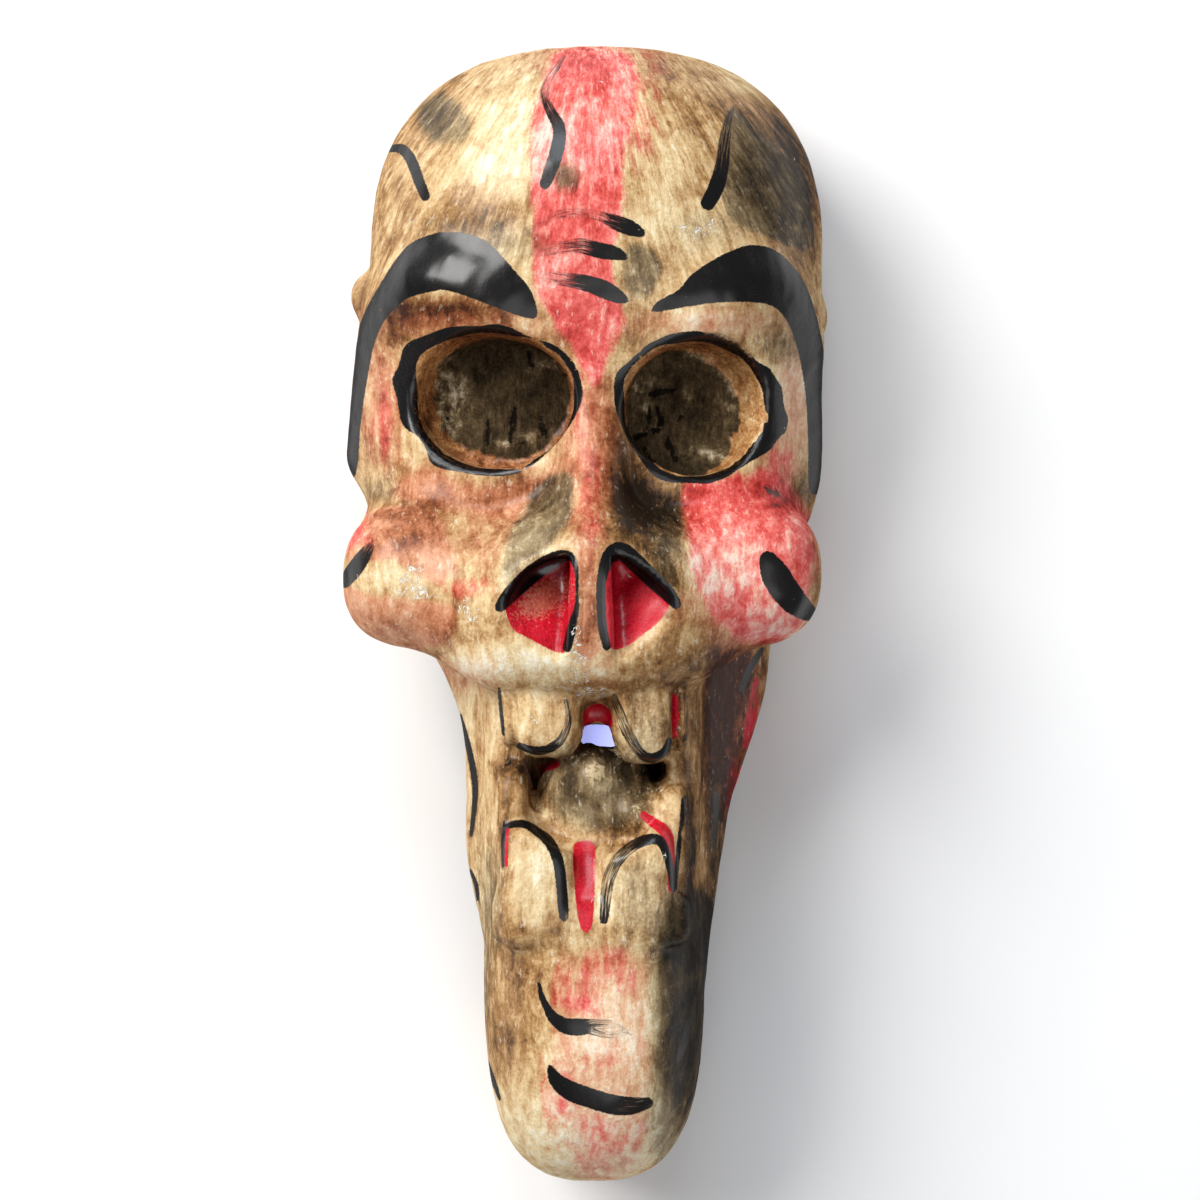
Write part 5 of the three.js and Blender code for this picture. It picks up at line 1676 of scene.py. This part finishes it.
    def bare_sockets(self, p: Array, seen: Array, socket: Array, in_socket: Array,
                     lips: Array) -> dict[str, Array]:
        """How bare the wood is in the sockets.

        Args:
            p: Points on the drawn mask.
            seen: The same points in the view.
            socket: Distance from the cuts of the sockets.
            in_socket: Which points lie on the cuts.
            lips: Which points lie on or near the lips of the sockets.

        Returns:
            How raw the wood is on the floors, and how much of the walls shows.
        """
        step = self.sight.step(p)
        bare, rim = np.full(p.shape[1], np.inf), np.full(p.shape[1], np.inf)
        at = np.flatnonzero(in_socket)
        bare[at] = np.minimum(*(shape.lay(seen[:, at]).edge for shape in FLOORS)) * step[at]
        at = np.flatnonzero(lips)
        rims = [ring.inner for ring in INK if isinstance(ring, Ring)]
        rim[at] = np.minimum(*(shape.lay(seen[:, at]).edge for shape in rims)) * step[at]
        ragged = 0.9 * Noise(7).at(p / 2.2)
        walls = np.minimum(*(shape.wall(p) for shape in self.carving.sockets))
        cut_wall = in_socket * rise(walls, 0.6, -0.2) * rise(socket, 2.0, 1.2)
        return {
            "raw": in_socket * rise(p[2], 88, 82) * rise(bare + ragged, 0.5, -0.5),
            "side": np.maximum(cut_wall, rise(rim, 0.3, -0.3)),
        }


# The studio


@dataclass
class Studio:
    """A pale floor, soft lights and the camera above the mask."""

    camera_at: Row = (0.001013, -0.000347, 1.0)
    lens: float = 80.16
    shift: Row = (8 / 1200, 13 / 1200)
    key: float = 78.0
    crown: float = 17.0
    fill: float = 19.0
    behind: float = 0.03
    sky: float = 0.17

    def build(self) -> None:
        """Set up the floor, the lights, the sky and the camera."""
        self.lay_floor()
        self.light("key", (-1.5, 1.2, 1.9), 1.5, self.key, (1.0, 0.985, 0.955))
        self.light("crown", (-0.1, 1.9, 1.9), 1.0, self.crown, (0.84, 0.92, 1.0))
        self.light("fill", (0.6, -0.9, 2.5), 2.0, self.fill, (1.0, 1.0, 1.0))
        self.blue_lamp()
        self.hang_sky()
        self.set_camera()
        log.info("studio: floor, sky, 4 lights, camera")

    def lay_floor(self) -> None:
        """Lay the card just under the mask's rim."""
        bpy.ops.object.select_all(action="DESELECT")
        bpy.ops.mesh.primitive_plane_add(size=6, location=(0, 0, -0.0006))
        floor = bpy.context.active_object
        floor.name = "studio_floor"
        bpy.ops.object.transform_apply(location=True, rotation=True, scale=True)
        floor.data.materials.append(StudioFloor().build())

    def blue_lamp(self) -> None:
        """Light the card behind the teeth, where the photo's backdrop shows blue through the hole."""
        bpy.ops.object.light_add(type="POINT", location=(0.015, -0.05, 0.02))
        lamp = bpy.context.active_object
        lamp.name = "behind"
        lamp.data.energy = self.behind
        lamp.data.color = (0.42, 0.47, 1.0)
        lamp.data.shadow_soft_size = 0.004
        lamp.visible_camera = False

    def hang_sky(self) -> None:
        """Light everything a little from all sides."""
        world = bpy.data.worlds.new("studio_sky")
        world.use_nodes = True
        world.node_tree.nodes["Background"].inputs["Color"].default_value = (0.93, 0.96, 1.0, 1)
        world.node_tree.nodes["Background"].inputs["Strength"].default_value = self.sky
        bpy.context.scene.world = world

    def set_camera(self) -> None:
        """Set the camera straight above the mask."""
        bpy.ops.object.camera_add(location=self.camera_at, rotation=(0, 0, 0))
        camera = bpy.context.active_object
        camera.data.lens = self.lens
        camera.data.sensor_width = 36
        camera.data.shift_x, camera.data.shift_y = self.shift
        camera.data.clip_start = 0.05
        bpy.context.scene.camera = camera
        bpy.context.scene.view_settings.view_transform = "Standard"

    def light(self, name: str, at: Row, size: float, power: float, tone: Row) -> None:
        """Add a square soft light that points at the mask.

        Args:
            name: Its name.
            at: Its place, in metres.
            size: Length of its side.
            power: Watts.
            tone: Its colour.
        """
        bpy.ops.object.light_add(type="AREA", location=at)
        lamp = bpy.context.active_object
        lamp.name = name
        lamp.data.size = size
        lamp.data.energy = power
        lamp.data.color = tone
        lamp.visible_camera = False
        way = -np.array(at)
        tilt = math.acos(-way[2] / np.linalg.norm(way))
        lamp.rotation_euler = (tilt, 0, math.atan2(way[1], way[0]) - math.pi / 2)


def main() -> None:
    """Build the mask and its studio."""
    logging.basicConfig(level=logging.INFO, format="%(name)s: %(message)s")
    SkullMask().build()
    Studio().build()


if __name__ == "__main__":
    main()
